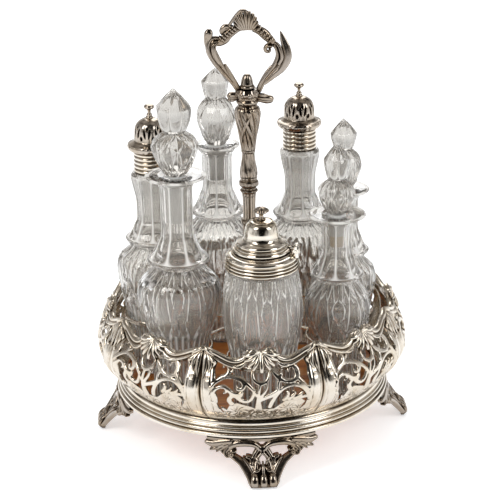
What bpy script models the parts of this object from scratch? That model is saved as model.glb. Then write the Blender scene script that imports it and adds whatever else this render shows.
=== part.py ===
"""Victorian cruet set: a round stand with a pierced gallery and seven cut-glass bottles.

The stand rests on four cast scroll feet. Its base ring carries a wooden floor and eight
bombe pierced panels under a cast scroll-and-shell border. A column of threaded-on pieces
rises from the floor to a rococo loop handle. Seven bottles stand round the column in guard
rings and lift straight out.

Metres, +Z up, origin on the table under the column. The front is -Y.
Angles are in degrees from the front, growing towards +X.
"""

import math

import bmesh
import bpy
from mathutils import Vector
from mathutils.geometry import delaunay_2d_cdt

MM = 0.001

# ---------------------------------------------------------------- driving sizes

SEAT_GAP = 0.3 * MM  # air left between two pieces that rest on each other

# circle that the bottles stand on
STATION_RADIUS = 78.0 * MM

# base ring and floor
RIM_CLEARANCE = 32.0 * MM  # from that circle out to the ring's outside
BASE_RADIUS = STATION_RADIUS + RIM_CLEARANCE
BASE_BOTTOM = 35.2 * MM  # height of the ring's underside above the table
BASE_HEIGHT = 12.8 * MM
BASE_WALL = 3.4 * MM  # thickness of the ring's upright at its top
BOARD_THICKNESS = 5.0 * MM
LEDGE_HEIGHT = 3.2 * MM  # top of the ledge under the board, above the ring's underside
LEDGE_WIDTH = 7.0 * MM
LEDGE_THICKNESS = 1.6 * MM
BASE_SEGMENTS = 32

# gallery
LOBES = 8
SHEET = 1.2 * MM
SEAM = 0.4 * MM  # width of the joint between two panels or two borders
# height above the base ring, how far the middle of the sheet lies outside the ring's radius
GALLERY_PROFILE = (
    (0.0, -6.2), (6.0, 0.0), (13.0, 6.6), (21.0, 11.2), (30.0, 13.0),
    (39.0, 11.3), (47.0, 6.6), (54.0, 2.2), (60.0, 0.2), (70.0, -0.4),
)
# angle from the lobe's centre, height of the border's top above the base ring
RIM_WAVE = ((0.0, 62.5), (4.2, 64.2), (9.4, 56.4), (16.0, 59.2), (22.5, 64.6))
BORDER_HEIGHT = 4.6 * MM  # solid rail above the panel's edge
BORDER_DEPTH = 3.0 * MM  # how far the casting stands out from the sheet
BORDER_INSIDE = 1.0 * MM  # how far it reaches in behind the sheet's middle
BORDER_LIP = 2.2 * MM  # least overlap in front of the sheet
SHELL_DROP = 8.0 * MM  # how far the shell hangs further in front of the sheet
SHELL_HALF_ANGLE = 5.6
LEAF_DROP = 11.0 * MM
LEAF_HALF_ANGLE = 4.0
CREASE_DEPTH = 2.2 * MM  # how far the sheet falls in where two lobes meet
CREASE_HALF_ANGLE = 4.2

# feet
FOOT_COUNT = 4
FOOT_INSET = 2.6 * MM  # middle of a foot's top, in from the base ring's outside
FOOT_REACH = 16.0 * MM  # how far the toe stands out beyond the foot's top

# column
ROD_RADIUS = 5.6 * MM
ROD_SHOULDER = 197.0 * MM
ROD_THREAD_RADIUS = 2.2 * MM
THREAD_CLEARANCE = 0.3 * MM
KNOP_HEIGHT = 13.0 * MM  # heights of the pieces threaded on the rod, from the shoulder up
STEM_HEIGHT = 22.4 * MM
VASE_HEIGHT = 36.8 * MM
BOSS_HEIGHT = 12.4 * MM
FINIAL_HEIGHT = 11.8 * MM
KNOP_TOP = ROD_SHOULDER + KNOP_HEIGHT
STEM_TOP = KNOP_TOP + STEM_HEIGHT
VASE_TOP = STEM_TOP + VASE_HEIGHT
BOSS_TOP = VASE_TOP + BOSS_HEIGHT
FINIAL_TOP = BOSS_TOP + FINIAL_HEIGHT
BEAD_DROP = 24.2 * MM  # from the shoulder down to the bead round the shaft
BEAD_HEIGHT = ROD_SHOULDER - BEAD_DROP
FINIAL_BORE_DEPTH = 6.0 * MM
NUT_RADIUS = 7.0 * MM
NUT_HEIGHT = 3.4 * MM
WASHER_RADIUS = 12.0 * MM
WASHER_THICKNESS = 1.2 * MM
COLUMN_SEGMENTS = 12

# handle
HANDLE_DEPTH = 3.0 * MM  # half thickness of its bars, front to back
SHELL_DEPTH = 2.1 * MM  # half thickness of its top shell

# bottle frame
FRAME_BOTTOM = 88.0 * MM  # underside of the guard rings
RING_HEIGHT = 4.0 * MM
RING_SEGMENTS = 12
RING_WALL = 1.4 * MM
RING_CLEARANCE = 1.2 * MM
ARM_WIDTH = 3.0 * MM
ARM_THICKNESS = 3.0 * MM
HUB_RADIUS = 10.0 * MM

# bottles
FACETS = 12
GLASS_WALL = 3.4 * MM
GLASS_BASE = 7.0 * MM
PLUG_TAPER = 0.5  # millimetres that a ground neck widens towards its mouth

# Station angle, then the sizes of each bottle in millimetres. Heights are above its own base.
OIL = dict(
    angle=311.5, base=22.0, waist=(22.4, 50.0), body=(33.0, 94.0), notch=(18.6, 115.0),
    ledge=(24.0, 120.0), neck=(13.2, 142.0), lip=(23.3, 187.0), plug=(7.4, 150.0),
    ball=(18.5, 211.0), nip=(8.4, 221.6), bud=(13.8, 238.6), tip=255.0,
)
VINEGAR = dict(
    angle=196.0, base=20.6, waist=(21.0, 46.0), body=(31.0, 88.0), notch=(17.4, 108.0),
    ledge=(22.6, 112.6), neck=(12.4, 134.0), lip=(19.0, 170.0), plug=(7.0, 140.0),
    ball=(17.0, 195.0), nip=(8.0, 209.8), bud=(11.4, 223.0), tip=234.5,
)
SOY = dict(
    angle=56.5, base=18.6, waist=(19.0, 34.0), body=(26.6, 72.0), notch=(15.6, 94.0),
    ledge=(20.7, 98.6), neck=(11.6, 118.0), lip=(22.4, 148.0), plug=(6.2, 122.0),
    ball=(15.2, 165.0), nip=(6.8, 176.4), bud=(10.4, 191.0), tip=205.6,
)
SAUCE = dict(
    angle=100.5, base=18.6, waist=(19.0, 34.0), body=(26.5, 74.0), notch=(15.6, 92.0),
    ledge=(20.4, 97.0), neck=(11.6, 117.0), lip=(20.6, 148.4), plug=(6.2, 122.0),
    ball=(15.2, 170.0), nip=(6.8, 181.8), bud=(10.5, 193.6), tip=206.6,
)
SHAKER = dict(
    base=19.6, waist=(20.4, 34.0), body=(30.5, 90.0), notch=(18.0, 107.6),
    ledge=(22.4, 113.0), neck=(12.8, 131.0), shoulder=(16.6, 164.6), finish=11.2,
)
PEPPER_ANGLE = 144.0
SUGAR_ANGLE = 257.5
MUSTARD = dict(
    angle=3.0, base=23.4, waist=(24.2, 40.0), body=(31.3, 88.0), shoulder=(27.4, 118.4),
    finish=24.4, finish_height=11.3,
)

SPOUT_REACH = 5.0 * MM  # of the sauce bottle's lip
SPOUT_ANGLE = 90.0  # from the sauce bottle's outward side

# silver mounts of the bottles
SILVER_SEGMENTS = 12
COLLAR_REEDS = 4
REED_DEPTH = 0.9 * MM
COLLAR_RADIUS = 13.6 * MM
COLLAR_RISE = 3.6 * MM  # of the collar's underside above the glass shoulder
COLLAR_HEIGHT = 17.8 * MM
CAP_FLANGE = (18.2 * MM, 6.8 * MM)
CAP_DOME = (11.6 * MM, 19.0 * MM)
CAP_TOP = 36.6 * MM  # of the button, above the cap's seat
CAP_WALL = 1.4 * MM
CAP_SPIGOT = 5.0 * MM
CAP_BUTTON = 3.9 * MM
CAP_SLOTS = 8
CAP_SLOT_WIDTH = 2.6 * MM
SHAKER_BORE = 8.6 * MM

MUSTARD_COLLAR_RADIUS = 28.4 * MM
MUSTARD_COLLAR_WALL = 1.4 * MM
MUSTARD_COLLAR_HEIGHT = 13.4 * MM
MUSTARD_SEAT_RISE = 1.3 * MM  # of the collar's seat above the jar's shoulder
LID_SEGMENTS = 16
LID_RADIUS = 21.8 * MM
LID_HEIGHT = 24.4 * MM
LID_DOME_RADIUS = 12.8 * MM
BUTTON_RADIUS = 6.0 * MM
BUTTON_HEIGHT = 10.0 * MM
HINGE_ANGLE = 80.0
HINGE_RISE = 2.3 * MM  # of the pin above the lid's underside
HINGE_RADIUS = 26.2 * MM  # from the jar's axis to the pin
KNUCKLE_RADIUS = 2.1 * MM
PIN_RADIUS = 1.0 * MM
KNUCKLE_WIDTH = 4.6 * MM
HINGE_PLAY = 0.3 * MM
EAR_STEP = 0.35 * MM  # how far an ear's web stands back from its knuckle's ends

# ---------------------------------------------------------------- what follows from them

BASE_TOP = BASE_BOTTOM + BASE_HEIGHT
BOARD_BOTTOM = BASE_BOTTOM + LEDGE_HEIGHT + SEAT_GAP
BOARD_TOP = BOARD_BOTTOM + BOARD_THICKNESS
RING_TOP_OUTER = BASE_RADIUS - 4.6 * MM
FOOT_TOP_RADIUS = BASE_RADIUS - FOOT_INSET
RING_TOP_INNER = RING_TOP_OUTER - BASE_WALL
PANEL_BOTTOM = BASE_TOP + SEAT_GAP
WASHER_BOTTOM = BOARD_BOTTOM - SEAT_GAP - WASHER_THICKNESS
NUT_BOTTOM = WASHER_BOTTOM - SEAT_GAP - NUT_HEIGHT
FINIAL_BORE_TOP = BOSS_TOP + SEAT_GAP + FINIAL_BORE_DEPTH
GLASS_FOOT = BOARD_TOP + SEAT_GAP
LOBE_ANGLE = 360.0 / LOBES
COLLAR_BOTTOM = SHAKER["shoulder"][1] * MM + COLLAR_RISE
COLLAR_TOP = COLLAR_BOTTOM + COLLAR_HEIGHT
JAR_SEAT = MUSTARD["shoulder"][1] * MM + MUSTARD_SEAT_RISE
JAR_MOUTH = JAR_SEAT + MUSTARD["finish_height"] * MM
JAR_COLLAR_TOP = JAR_SEAT + SEAT_GAP + MUSTARD_COLLAR_HEIGHT
LID_BOTTOM = JAR_COLLAR_TOP + SEAT_GAP
LID_TOP = LID_BOTTOM + LID_HEIGHT
HINGE_HEIGHT = LID_BOTTOM + HINGE_RISE

# ---------------------------------------------------------------- small tools


def clear_scene():
    for item in list(bpy.data.objects):
        bpy.data.objects.remove(item, do_unlink=True)


def material(name, color, metallic=0.0, roughness=0.3, transmission=0.0):
    mat = bpy.data.materials.new(name)
    mat.use_nodes = True
    shader = mat.node_tree.nodes["Principled BSDF"]
    shader.inputs["Base Color"].default_value = (*color, 1.0)
    shader.inputs["Metallic"].default_value = metallic
    shader.inputs["Roughness"].default_value = roughness
    shader.inputs["Transmission Weight"].default_value = transmission
    return mat


def polar(radius, angle, z=0.0):
    """Point at an angle from the front, growing towards +X."""
    turn = math.radians(angle)
    return Vector((radius * math.sin(turn), -radius * math.cos(turn), z))


def curve_at(knots, x):
    """Value at x of the smooth curve through (x, value) knots."""
    if x <= knots[0][0]:
        return knots[0][1]
    if x >= knots[-1][0]:
        return knots[-1][1]
    last = len(knots) - 1
    i = max(k for k in range(last) if knots[k][0] <= x)

    def slope(k):
        low, high = max(k - 1, 0), min(k + 1, last)
        return (knots[high][1] - knots[low][1]) / (knots[high][0] - knots[low][0])

    width = knots[i + 1][0] - knots[i][0]
    t = (x - knots[i][0]) / width
    start, end = knots[i][1], knots[i + 1][1]
    lead = slope(i) * width
    trail = slope(i + 1) * width
    return (
        (2 * t**3 - 3 * t**2 + 1) * start
        + (t**3 - 2 * t**2 + t) * lead
        + (3 * t**2 - 2 * t**3) * end
        + (t**3 - t**2) * trail
    )


def add_object(name, bm, mat, location=(0, 0, 0), turn=0.0, sharp=30.0):
    """New object from a bmesh, turned about +Z by an angle in degrees."""
    bmesh.ops.recalc_face_normals(bm, faces=bm.faces)
    mesh = bpy.data.meshes.new(name)
    bm.to_mesh(mesh)
    bm.free()
    mesh.materials.append(mat)
    mesh.shade_smooth()
    mesh.set_sharp_from_angle(angle=math.radians(sharp))
    item = bpy.data.objects.new(name, mesh)
    item.location = location
    item.rotation_euler = (0.0, 0.0, math.radians(turn))
    bpy.context.scene.collection.objects.link(item)
    return item


def as_tool(item):
    """Mark an object as a cutter or a part of a union, not a piece."""
    item.hide_render = True
    item.display_type = "WIRE"
    return item


def boolean(target, tool, operation):
    step = target.modifiers.new(operation.lower(), "BOOLEAN")
    step.operation = operation
    step.solver = "EXACT"
    step.object = as_tool(tool)


def turned(profile, segments, closed=False, bend=None):
    """Solid of revolution about Z.

    The profile holds (radius, height) or (radius, height, twist) points. A twist of 0.5
    turns that ring by half a facet, which cuts lozenges between it and its neighbours.
    A closed profile is joined end to start, an open one gets flat ends.
    bend moves a point, given its ring's index, its angle and the point.
    """
    bm = bmesh.new()
    rings = []
    twists = []
    for index, point in enumerate(profile):
        radius, height = point[0], point[1]
        twist = point[2] if len(point) > 2 else 0.0
        ring = []
        for k in range(segments):
            angle = 360.0 * (k + twist) / segments
            where = polar(radius, angle, height)
            if bend:
                where = bend(index, angle, where)
            ring.append(bm.verts.new(where))
        rings.append(ring)
        twists.append(twist)
    pairs = list(zip(range(len(rings) - 1), range(1, len(rings))))
    if closed:
        pairs.append((len(rings) - 1, 0))
    for low, high in pairs:
        join_rings(bm, rings[low], rings[high], twists[low] - twists[high])
    if not closed:
        bm.faces.new(reversed(rings[0]))
        bm.faces.new(rings[-1])
    return bm


def join_rings(bm, low, high, twist):
    count = len(low)
    for k in range(count):
        n = (k + 1) % count
        if abs(twist) < 1e-6:
            bm.faces.new((low[k], low[n], high[n], high[k]))
        elif twist < 0:
            bm.faces.new((low[k], low[n], high[k]))
            bm.faces.new((high[k], low[n], high[n]))
        else:
            bm.faces.new((low[k], high[n], high[k]))
            bm.faces.new((low[k], low[n], high[n]))


def lofted(sections):
    """Solid through closed sections with equal point counts, with flat ends."""
    bm = bmesh.new()
    rings = [[bm.verts.new(point) for point in section] for section in sections]
    for low, high in zip(rings, rings[1:]):
        join_rings(bm, low, high, 0.0)
    bm.faces.new(reversed(rings[0]))
    bm.faces.new(rings[-1])
    return bm


def swept_bar(path, depth, sides=8):
    """Bar in the XZ plane through (x, z, half width) points, oval in section."""
    sections = []
    last = len(path) - 1
    for k, (x, z, half) in enumerate(path):
        before, after = path[max(k - 1, 0)], path[min(k + 1, last)]
        along = Vector((after[0] - before[0], 0.0, after[1] - before[1])).normalized()
        across = Vector((along.z, 0.0, -along.x))
        thick = depth * min(1.0, half / depth + 0.2)
        section = []
        for s in range(sides):
            angle = 2.0 * math.pi * (s + 0.5) / sides
            offset = across * half * math.cos(angle) + Vector((0, thick * math.sin(angle), 0))
            section.append(Vector((x, 0.0, z)) + offset)
        sections.append(section)
    return lofted(sections)


def inside(point, loop):
    """Whether a 2D point lies inside a closed loop."""
    x, y = point
    hit = False
    for (ax, ay), (bx, by) in zip(loop, loop[1:] + loop[:1]):
        if (ay > y) != (by > y) and x < (bx - ax) * (y - ay) / (by - ay) + ax:
            hit = not hit
    return hit


def pierced_sheet(outline, holes, extra, place):
    """Sheet with holes. place(x, y, side) gives a 3D point; side is -1 or 1."""
    points = []
    edges = []
    for loop in [outline] + holes:
        start = len(points)
        points += loop
        edges += [(start + k, start + (k + 1) % len(loop)) for k in range(len(loop))]
    points += extra
    result = delaunay_2d_cdt([Vector(p) for p in points], edges, [], 0, 1e-9)
    flat, faces = result[0], result[2]
    bm = bmesh.new()
    front = [bm.verts.new(place(p.x, p.y, 1)) for p in flat]
    back = [bm.verts.new(place(p.x, p.y, -1)) for p in flat]
    count = {}
    for face in faces:
        middle = sum((flat[k] for k in face), Vector((0, 0))) / len(face)
        where = (middle.x, middle.y)
        if not inside(where, outline) or any(inside(where, hole) for hole in holes):
            continue
        bm.faces.new([front[k] for k in face])
        bm.faces.new([back[k] for k in reversed(face)])
        for a, b in zip(face, face[1:] + face[:1]):
            count[(a, b)] = True
    for a, b in count:
        if (b, a) not in count:
            bm.faces.new((front[b], front[a], back[a], back[b]))
    loose = [v for v in bm.verts if not v.link_faces]
    bmesh.ops.delete(bm, geom=loose, context="VERTS")
    return bm


def mirrored(loop):
    return [(-x, y) for x, y in reversed(loop)]


# ---------------------------------------------------------------- base ring and floor


def base_moulding(mat):
    low, high = BASE_BOTTOM, BASE_TOP
    out = BASE_RADIUS
    wall = RING_TOP_INNER
    ledge = wall - LEDGE_WIDTH
    top = low + LEDGE_HEIGHT
    profile = (
        (ledge, top - LEDGE_THICKNESS), (out - 3.4 * MM, low), (out - 0.5 * MM, low),
        (out, low + 1.4 * MM), (out - 0.3 * MM, low + 3.0 * MM),
        (out - 1.9 * MM, low + 3.9 * MM), (out - 1.3 * MM, low + 5.6 * MM),
        (out - 1.8 * MM, low + 7.0 * MM), (out - 3.7 * MM, low + 8.0 * MM),
        (RING_TOP_OUTER, high), (wall, high), (wall, top), (ledge, top),
    )
    add_object("base_moulding", turned(profile, BASE_SEGMENTS, closed=True), mat)


def floor_board(mat):
    rim = RING_TOP_INNER - SEAT_GAP
    bore = ROD_RADIUS + SEAT_GAP
    profile = (
        (bore, BOARD_BOTTOM), (rim, BOARD_BOTTOM), (rim, BOARD_TOP), (bore, BOARD_TOP),
    )
    add_object("floor_board", turned(profile, BASE_SEGMENTS, closed=True), mat)


# ---------------------------------------------------------------- gallery

# Piercings of the right half: distance from the lobe's centre, height above the base ring.
PIERCINGS = (
    ((5.2, 45.0), (9.8, 40.6), (8.8, 33.2), (5.4, 31.4)),
    ((13.6, 44.8), (18.0, 48.4), (21.4, 47.6), (17.6, 41.6)),
    ((31.0, 53.0), (33.6, 45.0), (32.2, 32.4), (28.6, 39.0), (27.6, 47.0)),
    ((12.6, 39.8), (19.4, 37.4), (12.2, 31.2)),
    ((17.0, 26.0), (21.0, 32.0), (30.2, 27.8), (26.4, 24.8), (22.0, 27.2)),
    ((11.4, 20.8), (15.4, 23.4), (24.6, 19.0), (16.6, 15.8)),
)
# Piercings on the lobe's centre line: the cartouche's eye and the V below it.
CENTRE_PIERCINGS = (
    ((-3.6, 46.2), (3.6, 46.2), (3.0, 41.4), (0.0, 39.8), (-3.0, 41.4)),
    ((-8.6, 27.6), (0.0, 24.8), (8.6, 27.6), (4.4, 22.0), (0.0, 18.4), (-4.4, 22.0)),
)
RIM_STEPS = (0.0, 0.19, 0.42, 0.7, 1.0)


def gallery_radius(z, angle=0.0):
    """Radius of the middle of the sheet at a height, an angle from the lobe's centre."""
    height = (z - BASE_TOP) / MM
    depth = CREASE_DEPTH * min(1.0, max(0.0, height) / 13.0)
    near = max(0.0, 1.0 - (LOBE_ANGLE / 2 - abs(angle)) / CREASE_HALF_ANGLE)
    return BASE_RADIUS + curve_at(GALLERY_PROFILE, height) * MM - depth * near**1.5


def rim_height(angle):
    """Top of the border at an angle from its lobe's centre."""
    return BASE_TOP + curve_at(RIM_WAVE, abs(angle)) * MM


def edge_height(angle):
    """Top edge of the sheet under the border."""
    return rim_height(angle) - BORDER_HEIGHT - SEAT_GAP


def lobe_half():
    """Half of a lobe's angle, less half the seam."""
    return LOBE_ANGLE / 2 - math.degrees(SEAM / 2 / BASE_RADIUS)


def rim_angles():
    steps = [-s for s in reversed(RIM_STEPS[1:])] + list(RIM_STEPS)
    return [lobe_half() * s for s in steps]


def border_drop(angle):
    """How far the casting hangs in front of the sheet below its edge."""
    shell = max(0.0, 1.0 - (angle / SHELL_HALF_ANGLE) ** 2)
    leaf = max(0.0, 1.0 - (LOBE_ANGLE / 2 - abs(angle)) / LEAF_HALF_ANGLE)
    return BORDER_LIP + shell * SHELL_DROP + leaf * LEAF_DROP


def hang_height(angle):
    """Lower edge of the casting in front of the sheet."""
    return rim_height(angle) - BORDER_HEIGHT - border_drop(angle)


def gallery_panel(name, centre, mat):
    """One pierced lobe, laid out flat in millimetres and wrapped on the gallery."""
    per_degree = math.radians(1.0) * BASE_RADIUS / MM
    side = lobe_half() * per_degree
    low = (PANEL_BOTTOM - BASE_TOP) / MM
    hang = [(a * per_degree, (hang_height(a) - BASE_TOP) / MM) for a in rim_angles()]
    steps = (13.0, 30.0, hang[0][1])
    outline = [(side * s, low) for s in (-1.0, -0.5, 0.0, 0.5, 1.0)]
    outline += [(side, y) for y in steps]
    outline += [
        (a * per_degree, (edge_height(a) - BASE_TOP) / MM) for a in reversed(rim_angles())
    ]
    outline += [(-side, y) for y in reversed(steps)]
    holes = [list(loop) for loop in PIERCINGS]
    holes += [mirrored(loop) for loop in PIERCINGS]
    holes += [list(loop) for loop in CENTRE_PIERCINGS]
    fold = (LOBE_ANGLE / 2 - CREASE_HALF_ANGLE) * per_degree
    extra = [(x, 8.0) for x in (-24.0, 0.0, 24.0)]
    extra += [(s * fold, y) for s in (-1, 1) for y in (13.0, 28.0)]
    extra += [point for point in hang[1:-1] if not any(inside(point, h) for h in holes)]

    def place(x, y, face):
        angle = x / per_degree
        z = BASE_TOP + y * MM
        return polar(gallery_radius(z, angle) + face * SHEET / 2, angle, z)

    sheet = pierced_sheet(outline, holes, extra, place)
    add_object(name, sheet, mat, turn=centre, sharp=60.0)


def rim_border(name, centre, mat):
    """Cast rail on a panel's edge, with a shell at its middle and half leaves at its ends."""
    front = SHEET / 2 + BORDER_DEPTH
    clear = SHEET / 2 + SEAT_GAP
    sections = []
    for angle in rim_angles():
        top = rim_height(angle)
        seat = top - BORDER_HEIGHT
        hang = hang_height(angle)
        middle = (seat + hang) / 2
        points = (
            (clear, seat), (-BORDER_INSIDE, seat), (-BORDER_INSIDE, top - 1.2 * MM),
            (SHEET, top), (front, top - 1.6 * MM), (front - 0.4 * MM, middle),
            (clear + 1.2 * MM, hang), (clear, hang),
        )
        sections.append([polar(gallery_radius(z, angle) + d, angle, z) for d, z in points])
    add_object(name, lofted(sections), mat, turn=centre, sharp=50.0)


# ---------------------------------------------------------------- feet

# Half of a foot's outline: distance from its middle, height above the table.
FOOT_OUTLINE = (
    (8.4, 0.0), (10.6, 3.0), (11.8, 7.0), (14.0, 11.5), (17.6, 16.4), (20.4, 19.4),
    (23.8, 18.2), (25.0, 21.6), (29.4, 22.8), (31.4, 26.4), (37.8, 24.6), (40.4, 28.6),
    (44.6, 30.6),
)
FOOT_TOP_HALF = 45.6
FOOT_SIDE_HOLE = (
    (4.6, 24.4), (8.4, 29.0), (15.6, 29.6), (19.8, 27.0), (16.6, 23.0), (10.4, 21.6),
)
FOOT_CENTRE_HOLE = ((-3.6, 16.8), (0.0, 22.6), (3.6, 16.8), (0.0, 15.0))
# Height above the table, share of the way from the ring's edge out to the toe.
FOOT_BEND = ((0.0, 1.0), (4.0, 0.96), (12.0, 0.6), (20.0, 0.26), (28.0, 0.05), (36.0, 0.0))
# Height above the table, thickness of the casting.
FOOT_THICKNESS = ((0.0, 8.6), (4.5, 11.0), (10.0, 6.6), (18.0, 4.4), (36.0, 3.2))


def foot(name, centre, mat):
    """Pierced scroll foot under the ring, its toe rolled outwards."""
    top = (BASE_BOTTOM - SEAT_GAP) / MM
    right = list(FOOT_OUTLINE) + [(FOOT_TOP_HALF, top), (15.0, top)]
    outline = right + mirrored(right)
    holes = [list(FOOT_SIDE_HOLE), mirrored(FOOT_SIDE_HOLE), list(FOOT_CENTRE_HOLE)]
    extra = [(-4.0, 4.5), (4.0, 4.5), (-6.0, 11.0), (6.0, 11.0)]

    def place(x, y, face):
        radius = FOOT_TOP_RADIUS + FOOT_REACH * curve_at(FOOT_BEND, y)
        radius += face * curve_at(FOOT_THICKNESS, y) * MM / 2
        angle = math.degrees(x * MM / FOOT_TOP_RADIUS)
        return polar(radius, angle, y * MM)

    casting = pierced_sheet(outline, holes, extra, place)
    add_object(name, casting, mat, turn=centre, sharp=50.0)


# ---------------------------------------------------------------- column


def sleeve(profile):
    """Turned piece bored through for the column's rod."""
    bore = ROD_THREAD_RADIUS + THREAD_CLEARANCE
    low, high = profile[0][1], profile[-1][1]
    return turned(((bore, low), *profile, (bore, high)), COLUMN_SEGMENTS, closed=True)


def column_rod(mat):
    shaft, thread = ROD_RADIUS, ROD_THREAD_RADIUS
    bead = ROD_RADIUS + 1.1 * MM
    profile = (
        (thread, NUT_BOTTOM - 1.5 * MM), (thread, BOARD_BOTTOM), (shaft, BOARD_BOTTOM),
        (shaft, BEAD_HEIGHT - 1.4 * MM), (bead, BEAD_HEIGHT), (shaft, BEAD_HEIGHT + 1.4 * MM),
        (shaft, ROD_SHOULDER), (thread, ROD_SHOULDER), (thread, FINIAL_BORE_TOP - SEAT_GAP),
    )
    add_object("column_rod", turned(profile, COLUMN_SEGMENTS), mat)


def column_pieces(mat):
    """Knop, stem and vase, threaded one above the other on the rod."""
    low, high = ROD_SHOULDER + SEAT_GAP, KNOP_TOP
    knop = (
        (6.2 * MM, low), (7.0 * MM, low + 1.6 * MM), (6.0 * MM, low + 5.0 * MM),
        (7.6 * MM, low + 7.0 * MM), (7.6 * MM, high - 3.4 * MM), (6.4 * MM, high - 2.0 * MM),
        (6.8 * MM, high),
    )
    add_object("column_knop", sleeve(knop), mat)

    low, high = KNOP_TOP + SEAT_GAP, STEM_TOP
    stem = (
        (6.6 * MM, low), (6.9 * MM, low + 4.0 * MM), (6.0 * MM, low + 12.0 * MM),
        (5.2 * MM, high - 1.6 * MM), (5.4 * MM, high),
    )
    add_object("column_stem", sleeve(stem), mat)

    low, high = STEM_TOP + SEAT_GAP, VASE_TOP
    vase = (
        (5.6 * MM, low), (6.0 * MM, low + 5.0 * MM), (7.8 * MM, low + 14.0 * MM),
        (9.6 * MM, low + 24.0 * MM), (10.2 * MM, low + 31.0 * MM), (9.0 * MM, high - 2.2 * MM),
        (7.0 * MM, high),
    )
    add_object("column_vase", sleeve(vase), mat)


def handle_finial(mat):
    """Bud with a blind bore: the profile runs down the bore and up the outside."""
    bore = ROD_THREAD_RADIUS + THREAD_CLEARANCE
    low, tip = BOSS_TOP + SEAT_GAP, FINIAL_TOP
    profile = (
        (0.4 * MM, FINIAL_BORE_TOP), (bore, FINIAL_BORE_TOP), (bore, low), (5.4 * MM, low),
        (5.9 * MM, low + 1.4 * MM), (4.8 * MM, low + 3.4 * MM), (4.2 * MM, low + 6.4 * MM),
        (2.6 * MM, tip - 1.2 * MM), (1.0 * MM, tip),
    )
    add_object("handle_finial", turned(profile, COLUMN_SEGMENTS), mat)


def underside_fixings(mat):
    """Washer and nut that draw the column down on the board."""
    bore = ROD_THREAD_RADIUS + THREAD_CLEARANCE
    for name, outer, low, high, sides in (
        ("column_washer", WASHER_RADIUS, WASHER_BOTTOM, BOARD_BOTTOM - SEAT_GAP, COLUMN_SEGMENTS),
        ("column_nut", NUT_RADIUS, NUT_BOTTOM, NUT_BOTTOM + NUT_HEIGHT, 6),
    ):
        corner = bore / math.cos(math.pi / sides)
        profile = ((corner, low), (outer, low), (outer, high), (corner, high))
        add_object(name, turned(profile, sides, closed=True), mat)


# ---------------------------------------------------------------- handle

# Bars of the loop: x, height above the boss's top, half width, in millimetres.
LEFT_ARM = (
    (-5.6, -4.6, 2.2), (-9.6, 1.4, 2.5), (-16.0, 9.9, 2.9), (-22.0, 19.4, 4.0),
    (-27.6, 30.4, 4.6), (-26.4, 37.9, 4.4), (-20.6, 39.8, 4.2), (-15.6, 44.4, 5.0),
    (-8.0, 48.4, 4.6), (-3.0, 49.9, 4.2),
)
RIGHT_ARM = (
    (6.2, -6.1, 2.4), (10.6, -0.1, 2.8), (14.2, 6.9, 3.0), (23.4, 15.9, 3.9),
    (27.0, 24.4, 4.8), (26.0, 31.9, 4.2), (20.6, 36.0, 4.0), (14.6, 42.4, 5.0),
    (7.6, 47.0, 4.4), (2.0, 49.4, 4.0),
)
HANDLE_TWIGS = (
    ((-26.6, 36.0, 3.0), (-28.8, 41.0, 3.8), (-28.6, 45.4, 3.2), (-27.8, 47.6, 1.2)),
    ((27.0, 29.0, 3.0), (27.4, 35.0, 3.0), (25.8, 41.6, 0.7)),
    ((23.4, 33.6, 2.4), (18.4, 31.0, 3.6), (15.0, 29.6, 2.0)),
    ((-9.4, 3.4, 1.8), (-13.4, 12.0, 1.8), (-17.0, 19.0, 1.0)),
    ((13.6, 8.4, 1.8), (17.4, 14.4, 1.8), (19.8, 17.6, 0.8)),
    ((-6.4, -6.8, 2.4), (-10.0, -5.8, 3.2), (-13.4, -5.8, 3.2), (-15.6, -6.6, 1.4)),
    ((6.4, -7.6, 2.4), (11.0, -8.6, 2.9), (15.5, -9.2, 3.6), (19.0, -9.6, 1.6)),
)
HANDLE_SHELL = (
    (-7.0, 45.4), (-13.0, 50.4), (-9.4, 56.9), (-4.8, 61.4), (-0.8, 63.2), (3.6, 59.9),
    (7.6, 54.9), (11.0, 48.9), (3.0, 45.4),
)


def handle_loop(mat):
    """Rococo loop cast with its boss: scroll arms, leaves, side volutes and a shell."""
    low = VASE_TOP + SEAT_GAP
    boss = (
        (7.4 * MM, low), (8.6 * MM, low + 2.4 * MM), (8.0 * MM, low + 5.0 * MM),
        (8.8 * MM, low + 8.0 * MM), (8.0 * MM, BOSS_TOP),
    )
    loop = add_object("handle_loop", sleeve(boss), mat, sharp=50.0)
    for index, bar in enumerate((LEFT_ARM, RIGHT_ARM, *HANDLE_TWIGS)):
        path = [(x * MM, BOSS_TOP + z * MM, half * MM) for x, z, half in bar]
        sides = 6 if index < 2 else 5
        depth = HANDLE_DEPTH - 0.13 * MM * index
        tool = add_object(f"handle_bar_{index + 1}", swept_bar(path, depth, sides), mat)
        boolean(loop, tool, "UNION")

    def place(x, y, face):
        return Vector((x * MM, face * SHELL_DEPTH, BOSS_TOP + y * MM))

    shell = pierced_sheet(list(HANDLE_SHELL), [], [], place)
    boolean(loop, add_object("handle_shell", shell, mat), "UNION")


# ---------------------------------------------------------------- bottle frame


def glass_radius(sizes, height):
    """Outer radius of a bottle at a height above its base, up to its widest part."""
    outer = [(h, r) for r, h, _ in lower_body(sizes)]
    for (h0, r0), (h1, r1) in zip(outer, outer[1:]):
        if h0 <= height <= h1:
            return r0 + (r1 - r0) * (height - h0) / (h1 - h0)
    return outer[-1][1]


def ring_inner(sizes):
    """Inner radius of the guard ring round a bottle."""
    top = (FRAME_BOTTOM + RING_HEIGHT - GLASS_FOOT) / MM
    return glass_radius(sizes, top) * MM + RING_CLEARANCE


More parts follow.
